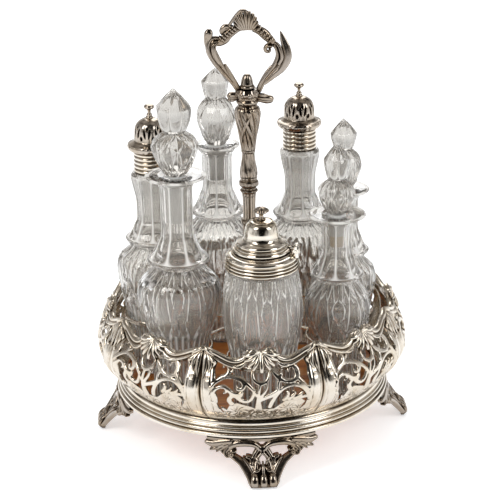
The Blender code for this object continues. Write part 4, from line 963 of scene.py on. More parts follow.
def leaves(count, depth, lean, low, high):
    """Chased leaves round a turned piece, leaning from low to high."""
    def relief(angle, height, radius):
        t = np.clip((height - low) / (high - low), 0.0, 1.0)
        wave = np.abs(np.sin((angle + lean * t) * count / 2))
        fine = 0.25 * np.sin((angle + lean * t) * count * 2.5)
        zone = np.clip(np.sin(np.clip(t, 0.02, 0.98) * math.pi) * 2.2, 0, 1)
        return depth * (wave**0.55 - 1.0 + fine * 0.5) * zone
    return relief


def bored(*profile):
    """Closes an outer profile with the bore for the rod."""
    low, high = profile[0][1], profile[-1][1]
    return spline([(2.5, low, 1), *profile[:-1], (*profile[-1][:2], 1), (2.5, high, 1),
                   (2.5, low + 0.02, 1)], 6)


def column(silver):
    def piece(name, replaced, profile, sides, **how):
        turned_piece(name, silver, "stand", "silver", replaced, profile, sides, **how)

    piece("column_shaft", "column_rod", spline([
        (0.05, 32.0, 1), (2.2, 32.0, 1), (2.2, 38.7, 1), (5.6, 38.7, 1), (5.6, 60.0, 1),
        (5.6, 90.0, 1), (5.6, 130.0, 1), (5.6, 168.6, 1), (5.5, 170.6), (6.6, 171.6),
        (6.9, 172.8), (6.6, 174.0), (5.5, 175.0, 1), (5.1, 178.0), (5.0, 186.0),
        (5.3, 193.0), (5.6, 195.0, 1), (5.6, 197.0, 1), (2.2, 197.0, 1), (2.2, 287.0, 1),
        (0.05, 287.0, 1),
    ], 5), 64, sharp=30.0, relief=shaft_panels)
    piece("knop", "column_knop", bored(
        (6.2, 197.3, 1), (7.1, 198.4), (6.9, 199.4), (5.9, 200.2, 1), (5.9, 201.6),
        (7.4, 203.0), (7.9, 204.6), (7.7, 206.2, 1), (7.2, 206.7), (6.4, 207.6),
        (6.8, 208.8), (6.9, 210.0, 1),
    ), 72, relief=leaves(12, 0.5, 0.0, 201.0, 206.6), closed=True)
    piece("leaf_stem", "column_stem", bored(
        (6.7, 210.3, 1), (7.1, 212.0), (7.0, 215.0), (6.2, 219.5), (5.5, 225.0),
        (5.2, 229.4), (5.7, 231.2), (5.5, 232.4, 1),
    ), 72, relief=leaves(6, 0.7, 0.8, 210.3, 232.4), closed=True)

    vase = Builder()
    vase.turned(bored(
        (5.7, 232.7, 1), (6.1, 237.0), (7.0, 242.6), (8.2, 248.4), (9.4, 254.6),
        (10.1, 260.4), (10.1, 264.4), (9.2, 266.6), (8.0, 267.6), (7.4, 269.2, 1),
    ), 160, relief=leaves(11, 1.25, 0.9, 232.7, 269.0), closed=True)
    # four leaves wrap the vase, leaning to the left and the right
    ts = np.linspace(0.0, 1.0, 18)
    for start, sweep, low, high in ((40.0, -75.0, 236.0, 264.0), (-60.0, 70.0, 238.0, 262.0),
                                    (160.0, -70.0, 236.0, 264.0), (250.0, -70.0, 238.0, 262.0)):
        zs = low + (high - low) * ts
        rs = np.interp(zs, (232.7, 242.6, 254.6, 262.0, 266.6), (5.8, 7.0, 9.4, 10.1, 9.2))
        path = np.array([polar(r - 0.2, start + sweep * t, z) for r, t, z in zip(rs, ts, zs)])
        vase.hug(path, 0.5 + 1.0 * np.sin(ts * math.pi) ** 0.8, flat=0.8)
    vase.object("leaf_vase", [silver], "stand", "silver", ["column_vase"])

    piece("bud_finial", "handle_finial", spline([
        (0.05, 287.9, 1), (2.5, 287.9, 1), (2.5, 281.9, 1), (5.2, 281.9, 1), (5.9, 282.6),
        (5.8, 283.8), (4.8, 284.8, 1), (5.0, 285.6), (4.6, 287.6), (4.0, 290.0),
        (2.9, 292.2), (1.4, 293.2), (0.05, 293.4, 1),
    ], 6), 48, relief=leaves(5, 0.35, 0.0, 284.6, 293.6))
    piece("washer", "column_washer", [
        (2.6, 37.2), (11.4, 37.2), (12.0, 37.4), (12.0, 38.2), (11.4, 38.4), (2.6, 38.4),
    ], 48, closed=True)
    piece("nut", "column_nut", [
        (2.95, 33.5), (6.2, 33.5), (7.0, 34.1), (7.0, 36.3), (6.2, 36.9), (2.95, 36.9),
    ], 6, sharp=20.0, closed=True)


HANDLE_Z = 281.6


def handle_point(points, count=40):
    """Path in the handle's plane from (x, height above the boss, half width, y) rows."""
    rows = [(*p, 0.0) if len(p) == 3 else p for p in points]
    fine = path3(rows, count)
    path = np.stack([fine[:, 0], fine[:, 3], HANDLE_Z + fine[:, 1]], axis=-1)
    return path, np.maximum(fine[:, 2], 0.25)


def left_arm(bar):
    """Smooth blade, crook and cross scroll with its ropes."""
    bar([(-4.6, -5.6, 2.0), (-7.0, -0.6, 2.2), (-11.6, 6.0, 2.0), (-17.6, 14.0, 2.6),
         (-23.0, 22.4, 3.7), (-27.0, 30.4, 4.1), (-27.8, 35.4, 3.5), (-26.2, 39.0, 2.8),
         (-22.6, 39.6, 2.6), (-19.0, 38.6, 2.0)], ribs=0.50)
    bar([(-19.8, 18.6, 0.6, -1.0), (-22.0, 22.6, 1.5, -1.4), (-24.8, 28.6, 2.0, -1.6),
         (-25.2, 34.4, 1.9, -1.4), (-22.4, 37.2, 1.2, -1.2)], flat=0.9)
    bar([(-29.6, 33.0, 1.6), (-30.4, 37.6, 2.0), (-29.4, 42.0, 3.0), (-28.6, 45.6, 3.0),
         (-28.4, 48.0, 1.4)], flat=0.8)
    bar([(-25.6, 37.0, 1.8), (-20.6, 37.0, 2.4), (-16.6, 39.6, 3.2), (-13.6, 43.6, 3.4),
         (-9.0, 46.8, 3.0), (-5.4, 48.2, 2.4)], flat=0.8, ribs=0.12)
    for k in range(6):
        x, z = -18.6 + 1.9 * k, 39.6 + 1.62 * k
        for side in (-1.0, 1.0):
            bar([(x - 2.1, z + 2.3, 0.5, 2.4 * side), (x - 0.2, z + 0.6, 1.0, 3.0 * side),
                 (x + 1.6, z - 1.6, 0.6, 2.4 * side)], 12, flat=1.0, sides=10)
    bar([(-17.6, 43.0, 1.2), (-18.4, 46.4, 2.2), (-15.6, 49.0, 2.6), (-12.0, 47.6, 2.4)],
        20, flat=0.8)


def inner_strips(bar):
    """Strips along the inside of both arms."""
    bar([(-5.0, -2.6, 1.5), (-8.4, 3.6, 1.7), (-12.4, 11.2, 1.6), (-16.4, 18.8, 1.2),
         (-17.2, 20.2, 0.7)], flat=0.85)
    bar([(8.6, -1.0, 1.5), (11.4, 5.2, 1.6), (15.0, 11.4, 1.6), (19.0, 16.6, 1.3),
         (20.4, 17.8, 0.7)], flat=0.85)


def right_arm(builder, bar):
    """Broad acanthus blade with two grooves, volute, leaf and ropes."""
    bar([(5.4, -5.6, 2.0), (8.8, -1.6, 2.3), (11.8, 4.4, 2.4), (17.4, 11.2, 2.7),
         (22.8, 17.8, 3.2), (25.6, 24.6, 3.4), (24.4, 31.2, 2.8), (21.2, 34.8, 2.3),
         (17.8, 34.6, 1.9), (15.2, 32.6, 1.6)], ribs=0.50)
    bar([(13.6, 3.4, 0.8, -1.2), (20.2, 9.4, 1.7, -1.6), (27.0, 15.4, 2.5, -1.6),
         (31.0, 23.0, 3.3, -1.2), (30.6, 30.6, 3.2, -0.6), (28.2, 38.2, 2.2),
         (26.2, 44.6, 0.5)], flat=0.45, ribs=0.12)
    bar([(24.4, 19.0, 1.0, -2.6), (27.0, 24.6, 1.2, -2.8), (25.8, 31.4, 1.1, -2.4),
         (23.4, 35.4, 0.8, -1.6)], flat=0.9)
    stroke = curl(16.8, 30.6, 40.0, 1.1, 3.8, 0.5, 1.9, 1.0)
    path = np.array([(x, 0.0, HANDLE_Z + y) for x, y, _ in stroke])
    builder.tube(path, [r for *_, r in stroke], sides=12, flat=1.4)
    bar([(21.0, 36.0, 2.2), (17.6, 39.0, 3.0), (14.4, 42.4, 3.6), (10.4, 45.6, 3.2),
         (5.4, 47.6, 2.4)], flat=0.8, ribs=0.1)
    for k in range(5):
        x, z = 18.4 - 2.3 * k, 38.2 + 2.2 * k
        for y in (-2.6, 2.6):
            bar([(x - 1.7, z - 1.7, 0.6, y), (x + 0.2, z + 0.3, 1.1, y * 1.2),
                 (x + 2.0, z + 2.0, 0.5, y)], 12, flat=1.0, sides=10)


def top_shell(builder, bar):
    """Flutes between two raised edges."""
    for k in range(-4, 5):
        lean = math.radians(9.0 * k - 3.0)
        reach = 15.2 - 0.36 * k * k - 0.5 * abs(k)
        ts = np.linspace(0.0, 1.0, 12)
        x0, z0 = 0.4 + 1.1 * k, HANDLE_Z + 46.6
        tilt = -0.10
        xs = x0 + np.sin(lean) * reach * ts + tilt * reach * ts * 0.3
        zs = z0 + np.cos(lean) * reach * ts
        radius = 0.7 + 0.85 * np.sin(np.clip(ts * 0.92 + 0.08, 0, 1) * math.pi * 0.8)
        for y in (-1.0, 1.0):
            ys = y * (1.4 + 0.5 * np.sin(ts * math.pi))
            builder.tube(np.stack([xs, ys, zs], axis=-1), radius, sides=10, flat=0.9)
    bar([(-13.6, 49.8, 0.9), (-10.6, 53.8, 1.2), (-6.8, 58.4, 1.4), (-2.6, 61.4, 1.5),
         (1.4, 59.2, 1.4), (5.6, 53.8, 1.3), (10.0, 48.6, 0.9)], flat=1.5)


def boss_leaves(builder, bar):
    """Leaves and a crown of lobes at the boss."""
    bar([(-5.6, -6.4, 2.2), (-9.8, -5.6, 2.8), (-13.0, -5.4, 2.8), (-15.4, -6.6, 1.4)],
        20, flat=0.9, ribs=0.15)
    bar([(-8.8, -7.8, 1.2, -1.0), (-12.6, -8.4, 1.5, -1.0), (-15.0, -7.8, 0.8)], 14)
    bar([(5.8, -7.4, 2.2), (10.6, -8.4, 2.7), (15.2, -8.9, 3.3), (19.2, -9.2, 2.4),
         (20.4, -9.4, 1.0)], 20, flat=0.9)
    bar([(8.4, -4.6, 1.2, -2.0), (12.4, -5.2, 1.6, -2.2), (15.6, -6.4, 1.0, -1.6)], 14)
    for k in range(9):
        builder.blob(polar(8.2, 40.0 * k + 8.0, 277.6), (1.9, 1.9, 2.5), 8, 12)


def handle(silver):
    """Rococo loop with its own boss."""
    builder = Builder()
    builder.turned(spline([
        (2.5, 269.5, 1), (7.4, 269.5, 1), (8.4, 270.4), (8.8, 271.8), (8.2, 273.0, 1),
        (7.7, 274.0), (8.0, 275.6), (9.0, 277.0), (9.2, 278.6), (8.4, 280.2), (7.6, 281.6, 1),
        (2.5, 281.6, 1), (2.5, 269.6, 1),
    ], 5), 72, relief=lambda a, z, r: 0.45 * np.abs(np.sin(a * 5)) * (z > 273.2) * (r > 4),
        closed=True)

    def bar(points, count=44, flat=0.72, ribs=0.16, sides=40):
        path, radii = handle_point(points, count)
        builder.tube(path, radii * 1.15, sides, flat, ribs=ribs)

    left_arm(bar)
    inner_strips(bar)
    right_arm(builder, bar)
    top_shell(builder, bar)
    boss_leaves(builder, bar)
    builder.object("rococo_handle", [silver], "stand", "silver", ["handle_loop"], sharp=60.0)


# ---------------------------------------------------------------- bottle frame


def ring_inner(sizes):
    """Inner radius of a guard ring, a little wider than its bottle."""
    top = RING_TOP - GLASS_FOOT
    body, waist = sizes["body"], sizes["waist"]
    knots = [(0.0, sizes["base"]), (waist[1], waist[0]),
             (waist[1] + 0.44 * (body[1] - waist[1]), waist[0] + 0.56 * (body[0] - waist[0])),
             (body[1], body[0])]
    return float(np.interp(top, *zip(*knots))) + 1.2


def bottle_frame(silver):
    """Guard rings and the star that ties them to the column."""
    stations = [(key, sizes, sizes["angle"]) for key, sizes in BOTTLES.items()]
    stations += [(key, SHAKER, angle) for key, angle in SHAKERS.items()]
    stations.append(("mustard", MUSTARD, MUSTARD["angle"]))
    for key, sizes, angle in stations:
        inner = ring_inner(sizes)
        turned_piece(f"guard_ring_{key}", silver, "stand", "silver", f"{key}_ring", spline([
            (inner, 0.6), (inner + 0.2, 0.0), (inner + 0.9, 0.1), (inner + 1.4, 0.9),
            (inner + 1.0, 2.0), (inner + 1.4, 3.1), (inner + 0.9, 3.9), (inner + 0.2, 4.0),
            (inner, 3.4), (inner, 2.0),
        ], 4), 96, at=polar(STATION_RADIUS, angle, RING_BOTTOM), closed=True)
    hub = Builder()
    hub.turned([(5.9, 88.5), (9.2, 88.5), (9.8, 89.1), (9.8, 90.9), (9.2, 91.5), (5.9, 91.5)],
               64, closed=True)
    for key, sizes, angle in stations:
        reach = STATION_RADIUS - ring_inner(sizes) - 1.7
        ts = np.linspace(9.0, reach, 14)
        path = np.array([polar(t, angle, 90.0) for t in ts])
        wide = 1.45 - 0.35 * np.sin(np.linspace(0, math.pi, 14))
        hub.tube(path, wide, sides=12, flat=1.0, normal=(0, 0, 1))
    hub.object("frame_star", [silver], "stand", "silver", ["frame_hub"])


# ---------------------------------------------------------------- glass


def flute(s, half, depth):
    """Hollow cut: deepest on its line, running out at half its width."""
    return depth * np.clip(1.0 - (s / half) ** 2, 0.0, 1.0)


def across_cell(angle, count, radius, shift=0.0):
    """Distance round the glass from the middle of the nearest cell."""
    cell = TAU / count
    off = (angle + shift * cell + cell / 2) % cell - cell / 2
    return off * radius


def cut_relief(cuts):
    """Relief of overlapping cuts, given as depths in rising order.

    Its ridge measure is minus how far the deepest lies under the next, and -3 where nothing
    is cut."""
    def relief(angle, height, radius):
        return -cuts(angle, height, radius)[-1]

    def ridge(angle, height, radius):
        deepest = cuts(angle, height, radius)
        edge = np.where(deepest[-1] < SHALLOW, -UNCUT_ROW, deepest[-1] - deepest[-2])
        return -edge * (deepest.max(axis=(0, 2), keepdims=True)[0] > SHALLOW)

    relief.ridge = ridge
    return relief


def body_cuts(sizes, top_key):
    """Cuts on a body: fine reeds, gabled windows, diamonds, lancets, shoulder petals."""
    count = sizes["cells"]
    body = sizes["body"]
    end = sizes[top_key][1]
    reed_top = 0.70 * body[1]
    window = 0.90 * body[1]
    gable = body[1] + 0.66 * (end - body[1])

    def cuts(angle, height, radius):
        half = math.pi * radius / count
        here = across_cell(angle, count, radius)
        there = across_cell(angle, count, radius, 0.5)
        found = []

        def leaf(off, low, high, width, depth, power=0.8, skew=1.0):
            t = np.clip((height - low) / (high - low), 0.001, 0.999)
            wide = width * half * np.sin(t**skew * math.pi) ** power
            found.append(flute(off, np.maximum(wide, 0.05), depth))

        # fine reeds, their tops rising and falling in round arches
        fine = across_cell(angle, count * 4, radius)
        arch = reed_top - 6.0 + 7.0 * np.sqrt(np.clip(1.0 - (here / half) ** 2, 0.0, 1.0))
        fade = np.clip((arch - height) / 2.0, 0.0, 1.0) * np.clip((height - 2.5) / 2.0, 0, 1)
        found.append(flute(fine, half / 4.0, 0.50) * np.sqrt(fade))
        # slanting mitres from the point of each window down to the cell's sides
        slope = (window - (0.62 * body[1])) / half
        for side in (-1.0, 1.0):
            line = window - slope * side * here
            off = (height - line) / np.sqrt(1.0 + slope**2)
            on = (side * here > -0.6) * (height > 0.60 * body[1])
            found.append(flute(off, 1.7, 0.9) * on)
        # upright diamond with a pointed gable over it
        t = np.clip((height - window) / (body[1] + 5.0 - window), 0.0, 1.0)
        down = np.clip((gable - height) / (gable - body[1] - 5.0), 0.0, 1.0)
        found.append(flute(here, np.maximum(0.56 * half * np.minimum(t, down), 0.05), 1.25))
        # long lancets between the cells, and narrower ones beside the diamonds
        leaf(there, 0.58 * body[1], body[1] + 0.84 * (end - body[1]), 0.62, 1.35, 0.75, 0.85)
        quarter = across_cell(angle, 2 * count, radius, 0.5)
        leaf(quarter, 0.80 * body[1], end, 0.26, 0.9, 0.7, 1.2)
        # petals round the shoulder
        low = body[1] + 0.30 * (end - body[1])
        t = np.clip((height - low) / (end + 2.0 - low), 0.0, 1.0)
        petal = across_cell(angle, 2 * count, radius)
        wide = 0.48 * half * np.sin(np.clip(t, 0.001, 1.0) * math.pi / 2) ** 0.7
        on = (height > low) & (height < end)
        found.append(np.where(on, flute(petal, np.maximum(wide, 0.05), 0.8), 0.0))
        return np.sort(np.stack(np.broadcast_arrays(*found)), axis=0) * (height < end + 0.5)

    return cut_relief(cuts)


def neck_cuts(sizes, high, number):
    """Flutes up the neck, from the ledge to a height."""
    low = sizes["ledge"][1] + 1.0

    def relief(angle, height, radius):
        here = across_cell(angle, number, radius)
        ends = np.clip((height - low) / 5.0, 0.0, 1.0) * np.clip((high - height) / 5.0, 0, 1)
        return -flute(here, math.pi * radius / number, 1.0) * np.sqrt(ends)

    return relief


def summed(*reliefs):
    """Adds reliefs, and their ridge measures with those reliefs that have none."""
    def relief(angle, height, radius):
        return sum(part(angle, height, radius) for part in reliefs)

    def ridge(angle, height, radius):
        measures = (getattr(part, "ridge", part) for part in reliefs)
        return sum(measure(angle, height, radius) for measure in measures)

    relief.ridge = ridge
    return relief


def body_profile(sizes):
    """Foot to widest part, then to the notch and the ledge: (radius, height, corner)."""
    base, waist, body = sizes["base"], sizes["waist"], sizes["body"]
    notch, ledge, neck = sizes["notch"], sizes["ledge"], sizes["neck"]
    mid = 0.5 * (waist[1] + body[1])
    return [
        (0.05, 0.6, 1), (base - 6.0, 0.3, 1), (base - 1.6, 0.0), (base - 0.2, 0.9),
        (base, 2.6), (base + 0.1, waist[1] * 0.5), (*waist,),
        (waist[0] + 0.62 * (body[0] - waist[0]), mid),
        (body[0] - 0.5, body[1] - 8.0), (*body,), (body[0] - 1.0, body[1] + 6.0),
        (0.5 * (notch[0] + body[0]) + 1.6, 0.45 * body[1] + 0.55 * notch[1]),
        (notch[0] + 2.0, notch[1] - 3.0), (*notch, 1),
        (notch[0] + 2.0, notch[1] + 1.0), (ledge[0] - 0.6, ledge[1] - 1.4),
        (ledge[0], ledge[1]), (ledge[0] - 1.6, ledge[1] + 1.6, 1),
        (0.55 * ledge[0] + 0.45 * neck[0], ledge[1] + 0.3 * (neck[1] - ledge[1])),
        (0.2 * ledge[0] + 0.8 * neck[0], ledge[1] + 0.7 * (neck[1] - ledge[1])), (*neck,),
    ]


def cavity_profile(sizes):
    """Inside of a bottle, from the neck down to the floor."""
    base, waist, body = sizes["base"], sizes["waist"], sizes["body"]
    notch, neck = sizes["notch"], sizes["neck"]
    return [
        (neck[0] - GLASS_WALL, neck[1]),
        (0.5 * (neck[0] + notch[0]) - GLASS_WALL, 0.5 * (neck[1] + notch[1])),
        (notch[0] - GLASS_WALL, notch[1]),
        (body[0] - GLASS_WALL - 1.6, 0.5 * (body[1] + notch[1])),
        (body[0] - GLASS_WALL, body[1]),
        (0.5 * (body[0] + waist[0]) - GLASS_WALL, 0.5 * (body[1] + waist[1])),
        (waist[0] - GLASS_WALL, waist[1]), (base - GLASS_WALL - 0.6, 14.0),
        (base - GLASS_WALL - 3.0, 8.4),
        (0.5 * base, 7.2), (0.05, 7.6, 1),
    ]


GLASS_SIDES = 288
STOPPER_CELLS = 8


def glass_body(name, mat, body, replaced, outer, inner, angle, *reliefs):
    """A bottle's glass, cut on the outside and smooth within."""
    turned_piece(name, mat, body, "glass", replaced, np.vstack([outer, inner[1:]]), GLASS_SIDES,
                 spot(angle), angle, 16.0, relief=summed(*reliefs), inside=len(outer))


def stoppered_bottle(key, sizes, clear):
    """A bottle with a ground mouth. The sauce bottle's lip has a spout."""
    lip, neck, plug = sizes["lip"], sizes["neck"], sizes["plug"]
    bore = plug[0] + 0.3
    outer = spline(body_profile(sizes) + [
        (neck[0], 0.5 * (neck[1] + lip[1])), (neck[0] + 0.3, lip[1] - 9.0),
        (neck[0] + 2.6, lip[1] - 4.6), (lip[0] - 3.0, lip[1] - 2.2), (lip[0], lip[1] - 1.0),
        (lip[0] - 0.4, lip[1]), (lip[0] - 3.0, lip[1] - 0.2, 1),
    ], 9)
    inner = spline([
        (lip[0] - 3.0, lip[1] - 0.2), (bore + 2.4, lip[1] - 1.0), (bore + 0.7, lip[1] - 4.0),
        (bore, plug[1], 1), *cavity_profile(sizes),
    ], 6)
    spout = key == "sauce"

    def lip_cuts(angle, height, radius):
        wave = 0.5 - 0.5 * np.cos(angle * sizes["cells"])
        near = np.clip((height - lip[1] + 3.0) / 3.0, 0, 1) * (radius > lip[0] - 3.6)
        out = -0.55 * wave * near
        if spout:
            turn = angle - math.radians(90.0)
            out = out + 5.0 * np.maximum(np.cos(turn), 0.0) ** 4 * near
        return out

    glass_body(f"{key}_cut_bottle", clear, key, f"{key}_bottle", outer, inner, sizes["angle"],
               body_cuts(sizes, "notch"), neck_cuts(sizes, lip[1] - 5.0, 8), lip_cuts)


def cut_stopper(key, sizes, glass, ground):
    """Stopper with a ball and a ribbed bud over its ground plug."""
    lip, plug, tip = sizes["lip"], sizes["plug"], sizes["tip"]
    nip, ball, bud = sizes["nip"], sizes["ball"], sizes["bud"]
    profile = spline([
        (0.05, plug[1] + 0.6, 1), (plug[0] - 0.6, plug[1] + 0.6), (plug[0], plug[1] + 1.2, 1),
        (plug[0] + 0.45, lip[1] - 4.0), (plug[0] + 0.2, lip[1] + 0.6, 1),
        (plug[0] + 1.6, lip[1] + 2.0), (0.78 * ball[0], lip[1] + 0.42 * (ball[1] - lip[1])),
        (0.97 * ball[0], lip[1] + 0.74 * (ball[1] - lip[1])), (*ball,),
        (0.86 * ball[0], ball[1] + 0.5 * (nip[1] - ball[1])), (nip[0] + 1.4, nip[1] - 1.6),
        (*nip,), (nip[0] + 1.2, nip[1] + 1.6), (0.9 * bud[0], 0.5 * (nip[1] + bud[1])), (*bud,),
        (0.95 * bud[0], bud[1] + 0.16 * (tip - bud[1]), 1),
        (0.5 * bud[0], bud[1] + 0.60 * (tip - bud[1])), (0.8, tip - 0.4, 1), (0.05, tip, 1),
    ], 7)
    ground_rows = [1 if p[1] < lip[1] + 0.2 else 0 for p in profile[:-1]]

    def facets(angle, height, radius):
        half = math.pi * np.maximum(radius, 1.0) / STOPPER_CELLS
        here = across_cell(angle, STOPPER_CELLS, radius)
        there = across_cell(angle, STOPPER_CELLS, radius, 0.5)
        found = []
        for low, high, off, deep in (
            (lip[1] + 1.0, ball[1] + 1.0, here, 1.2),
            (lip[1] + 5.0, nip[1] - 1.0, there, 1.5),
            (ball[1] - 2.0, nip[1] + 1.0, here, 1.2),
        ):
            t = np.clip((height - low) / (high - low), 0.001, 0.999)
            width = half * (1.0 - np.abs(2.0 * t - 1.0)) * 1.25
            width = np.minimum(width, half * 1.02)
            found.append(flute(off, np.maximum(width, 0.05), deep) * (height < nip[1] + 1.0))
        t = np.clip((height - nip[1] - 1.0) / (tip - nip[1] - 1.0), 0.0, 1.0)
        ribs = flute(here, half, 1.05) * np.sin(np.clip(t * 1.5, 0, 1) * math.pi / 2)
        fade = np.clip((tip - height) / 6.0, 0.0, 1.0)
        found.append(ribs * fade * (height > nip[1] + 1.0))
        return np.sort(np.stack(np.broadcast_arrays(*found)), axis=0) * (height > lip[1] + 0.8)

    builder = Builder()
    builder.turned(profile, 160, relief=cut_relief(facets), marks=ground_rows)
    builder.object(f"{key}_cut_stopper", [glass, ground], f"{key}_stopper", "glass",
                   [f"{key}_stopper"], at=spot(sizes["angle"]), turn=sizes["angle"] + 9.0,
                   sharp=16.0)


def shaker_glass(key, angle, glass):
    """Glass of a caster."""
    sizes = SHAKER
    shoulder, neck = sizes["shoulder"], sizes["neck"]
    outer = spline(body_profile(sizes) + [
        (neck[0] + 0.4, 0.55 * neck[1] + 0.45 * shoulder[1]),
        (0.4 * neck[0] + 0.6 * shoulder[0], shoulder[1] - 9.0),
        (shoulder[0], shoulder[1] - 1.2), (shoulder[0] - 0.6, shoulder[1] + 1.6),
        (shoulder[0] - 2.2, 167.9, 1), (11.2, 167.9, 1), (11.2, 185.0, 1),
    ], 9)
    inner = spline([(11.2, 185.0, 1), (8.6, 185.0, 1), (8.6, 139.0), *cavity_profile(sizes)], 6)
    glass_body(f"{key}_cut_bottle", glass, key, f"{key}_bottle", outer, inner, angle,
               body_cuts(sizes, "notch"), neck_cuts(sizes, shoulder[1] + 1.0, 9))


def shaker_collar(key, angle, silver):
    """Collar of five reeds round the neck."""
    points = [(11.5, 168.2, 1), (13.0, 168.2, 1)]
    for k in range(5):
        low = 168.5 + 3.45 * k
        points += [(12.8, low), (13.6, low + 0.9), (13.6, low + 2.3), (12.8, low + 3.2, 1)]
    points += [(13.0, 186.0, 1), (11.5, 186.0, 1), (11.5, 168.3, 1)]
    turned_piece(f"{key}_reeded_collar", silver, key, "silver", f"{key}_collar",
                 spline(points, 4), 96, spot(angle), sharp=30.0, closed=True)


def shaker_cap(key, angle, engraved):
    """Domed cap with eight groups of recessed slots, and a button."""
    def hole(off, up, wide, tall):
        """1 inside an upright oval, running out over a fifth of its size."""
        far = np.sqrt((off / wide) ** 2 + (up / tall) ** 2)
        return np.clip((1.1 - far) / 0.2, 0.0, 1.0)

    # recessed slots, not cut through: the engraved material paints their depth near black as
    # painted shade
    def pierced(ang, height, radius):
        on = (height > 194.0) * (height < 209.6) * (radius > 6.0)
        off = across_cell(ang, 8, radius)
        side = across_cell(ang, 8, radius, 0.5)
        lean = 0.28 * (height - 201.4) * np.sign(off)
        cut = np.max([
            hole(off - 1.9 - lean * 0.6, height - 201.6, 0.85, 3.6),
            hole(off + 1.9 - lean * 0.6, height - 201.6, 0.85, 3.6),
            hole(off, height - 205.6, 0.9, 1.5), hole(side, height - 197.6, 1.1, 1.7),
        ], axis=0)
        rib = 0.30 * np.abs(np.cos(ang * 8)) ** 0.7 * np.clip((209.6 - height) / 3.0, 0.0, 1.0)
        flange = 0.25 * np.sin(ang * 24) * (height > 187.0) * (height < 191.0) * (radius > 15.0)
        return on * (rib - 1.35 * cut) + 0.5 * flange

    outline = spline([
        (0.05, 209.0, 1), (6.8, 207.0), (9.2, 201.0), (9.4, 193.4, 1), (6.9, 186.3, 1),
        (6.9, 181.3, 1), (8.3, 181.3, 1), (8.3, 186.3, 1), (15.8, 186.3, 1), (17.0, 186.9),
        (17.9, 188.4), (18.2, 189.8), (17.6, 191.4, 1), (16.6, 191.8), (15.0, 192.4),
        (13.2, 193.4), (12.3, 194.4, 1), (12.1, 197.0), (12.1, 201.0), (11.4, 205.0),
        (9.4, 208.6), (6.0, 210.9), (2.9, 211.8, 1), (2.8, 212.8), (2.2, 213.6, 1),
        (2.2, 214.8), (1.4, 215.8), (1.3, 217.0), (1.7, 218.6), (3.5, 219.5), (4.2, 220.7),
        (3.7, 222.0), (2.2, 222.7), (0.05, 222.9, 1),
    ], 10)
    turned_piece(f"{key}_painted_dark_slot_cap", engraved, f"{key}_cap", "silver", f"{key}_cap",
                 outline, 288, spot(angle), angle, 50.0, relief=pierced)


MUSTARD_SPOT = spot(MUSTARD["angle"])
HINGE_OUT = polar(1.0, HINGE_ANGLE)
HINGE_SIDE = np.array([-HINGE_OUT[1], HINGE_OUT[0], 0.0])
HINGE_PIVOT = HINGE_OUT * HINGE_RADIUS + np.array([0.0, 0.0, HINGE_HEIGHT])
UP = (0, 0, 1)


def on_pin(low, high, count):
    """Points along the hinge's axis."""
    return np.array([HINGE_PIVOT + HINGE_SIDE * t for t in np.linspace(low, high, count)])


def mustard_jar(glass):
    """The jar's glass, without a neck."""
    sizes = MUSTARD
    base, waist, body, shoulder = (sizes[k] for k in ("base", "waist", "body", "shoulder"))
    mid = 0.5 * (waist[1] + body[1])
    outer = spline([
        (0.05, 0.6, 1), (base - 6.0, 0.3, 1), (base - 1.6, 0.0), (base - 0.2, 0.9),
        (base, 2.6), (base + 0.2, waist[1] * 0.5), (*waist,),
        (waist[0] + 0.62 * (body[0] - waist[0]), mid), (body[0] - 0.5, body[1] - 9.0), (*body,),
        (body[0] - 0.5, body[1] + 9.0), (body[0] - 2.0, body[1] + 20.0), (*shoulder,),
        (shoulder[0] - 0.8, 119.7, 1), (24.4, 119.7, 1), (24.4, 131.0, 1),
    ], 11)
    inner = spline([
        (24.4, 131.0, 1), (21.0, 131.0, 1), (21.0, 118.4), (body[0] - 4.0, body[1] + 12.0),
        (body[0] - GLASS_WALL, body[1]), (0.5 * (body[0] + waist[0]) - GLASS_WALL, mid),
        (waist[0] - GLASS_WALL, waist[1]),
        (base - 3.8, 14.0), (base - 6.2, 8.4), (0.5 * base, 7.2), (0.05, 7.6, 1),
    ], 6)
    glass_body("mustard_cut_jar", glass, "mustard", "mustard_jar", outer, inner, sizes["angle"],
               body_cuts(sizes, "shoulder"))


def mustard_collar(plain):
    """Collar of three reeds with the jar's two hinge knuckles."""
    low = 120.0
    points = [(25.1, low, 1), (26.6, low, 1)]
    for k in range(3):
        z, r = low + 0.3 + 2.55 * k, 28.4 - 0.25 * k
        points += [(r - 1.1, z), (r, z + 0.7), (r, z + 1.7), (r - 1.1, z + 2.4, 1)]
    points += [(26.9, 128.4, 1), (27.3, 129.2), (26.9, 130.4), (25.2, 131.6), (23.2, 132.2, 1),
               (22.7, 132.6), (22.9, 133.1), (22.2, 133.4, 1), (19.6, 133.4, 1),
               (19.6, 131.3, 1), (25.1, 131.3, 1), (25.1, 120.1, 1)]
    builder = Builder()
    builder.turned(spline(points, 5), 128, closed=True)
    for a, b in ((-7.3, -2.7), (2.7, 7.3)):
        wide = 2.1 - 0.25 * np.abs(np.linspace(-1, 1, 10)) ** 4
        builder.tube(on_pin(a, b, 10), wide, sides=20, normal=UP)
        middle = HINGE_PIVOT + HINGE_SIDE * (a + b) / 2
        root = np.array([middle + np.array([0, 0, -t]) for t in (0.2, 5.6)])
        builder.tube(root, (1.9, 2.2), normal=HINGE_OUT)
    builder.object("mustard_reeded_collar", [plain], "mustard", "silver", ["mustard_collar"],
                   at=MUSTARD_SPOT, sharp=30.0)


LID_LOW, LID_TOP = 133.7, 158.1


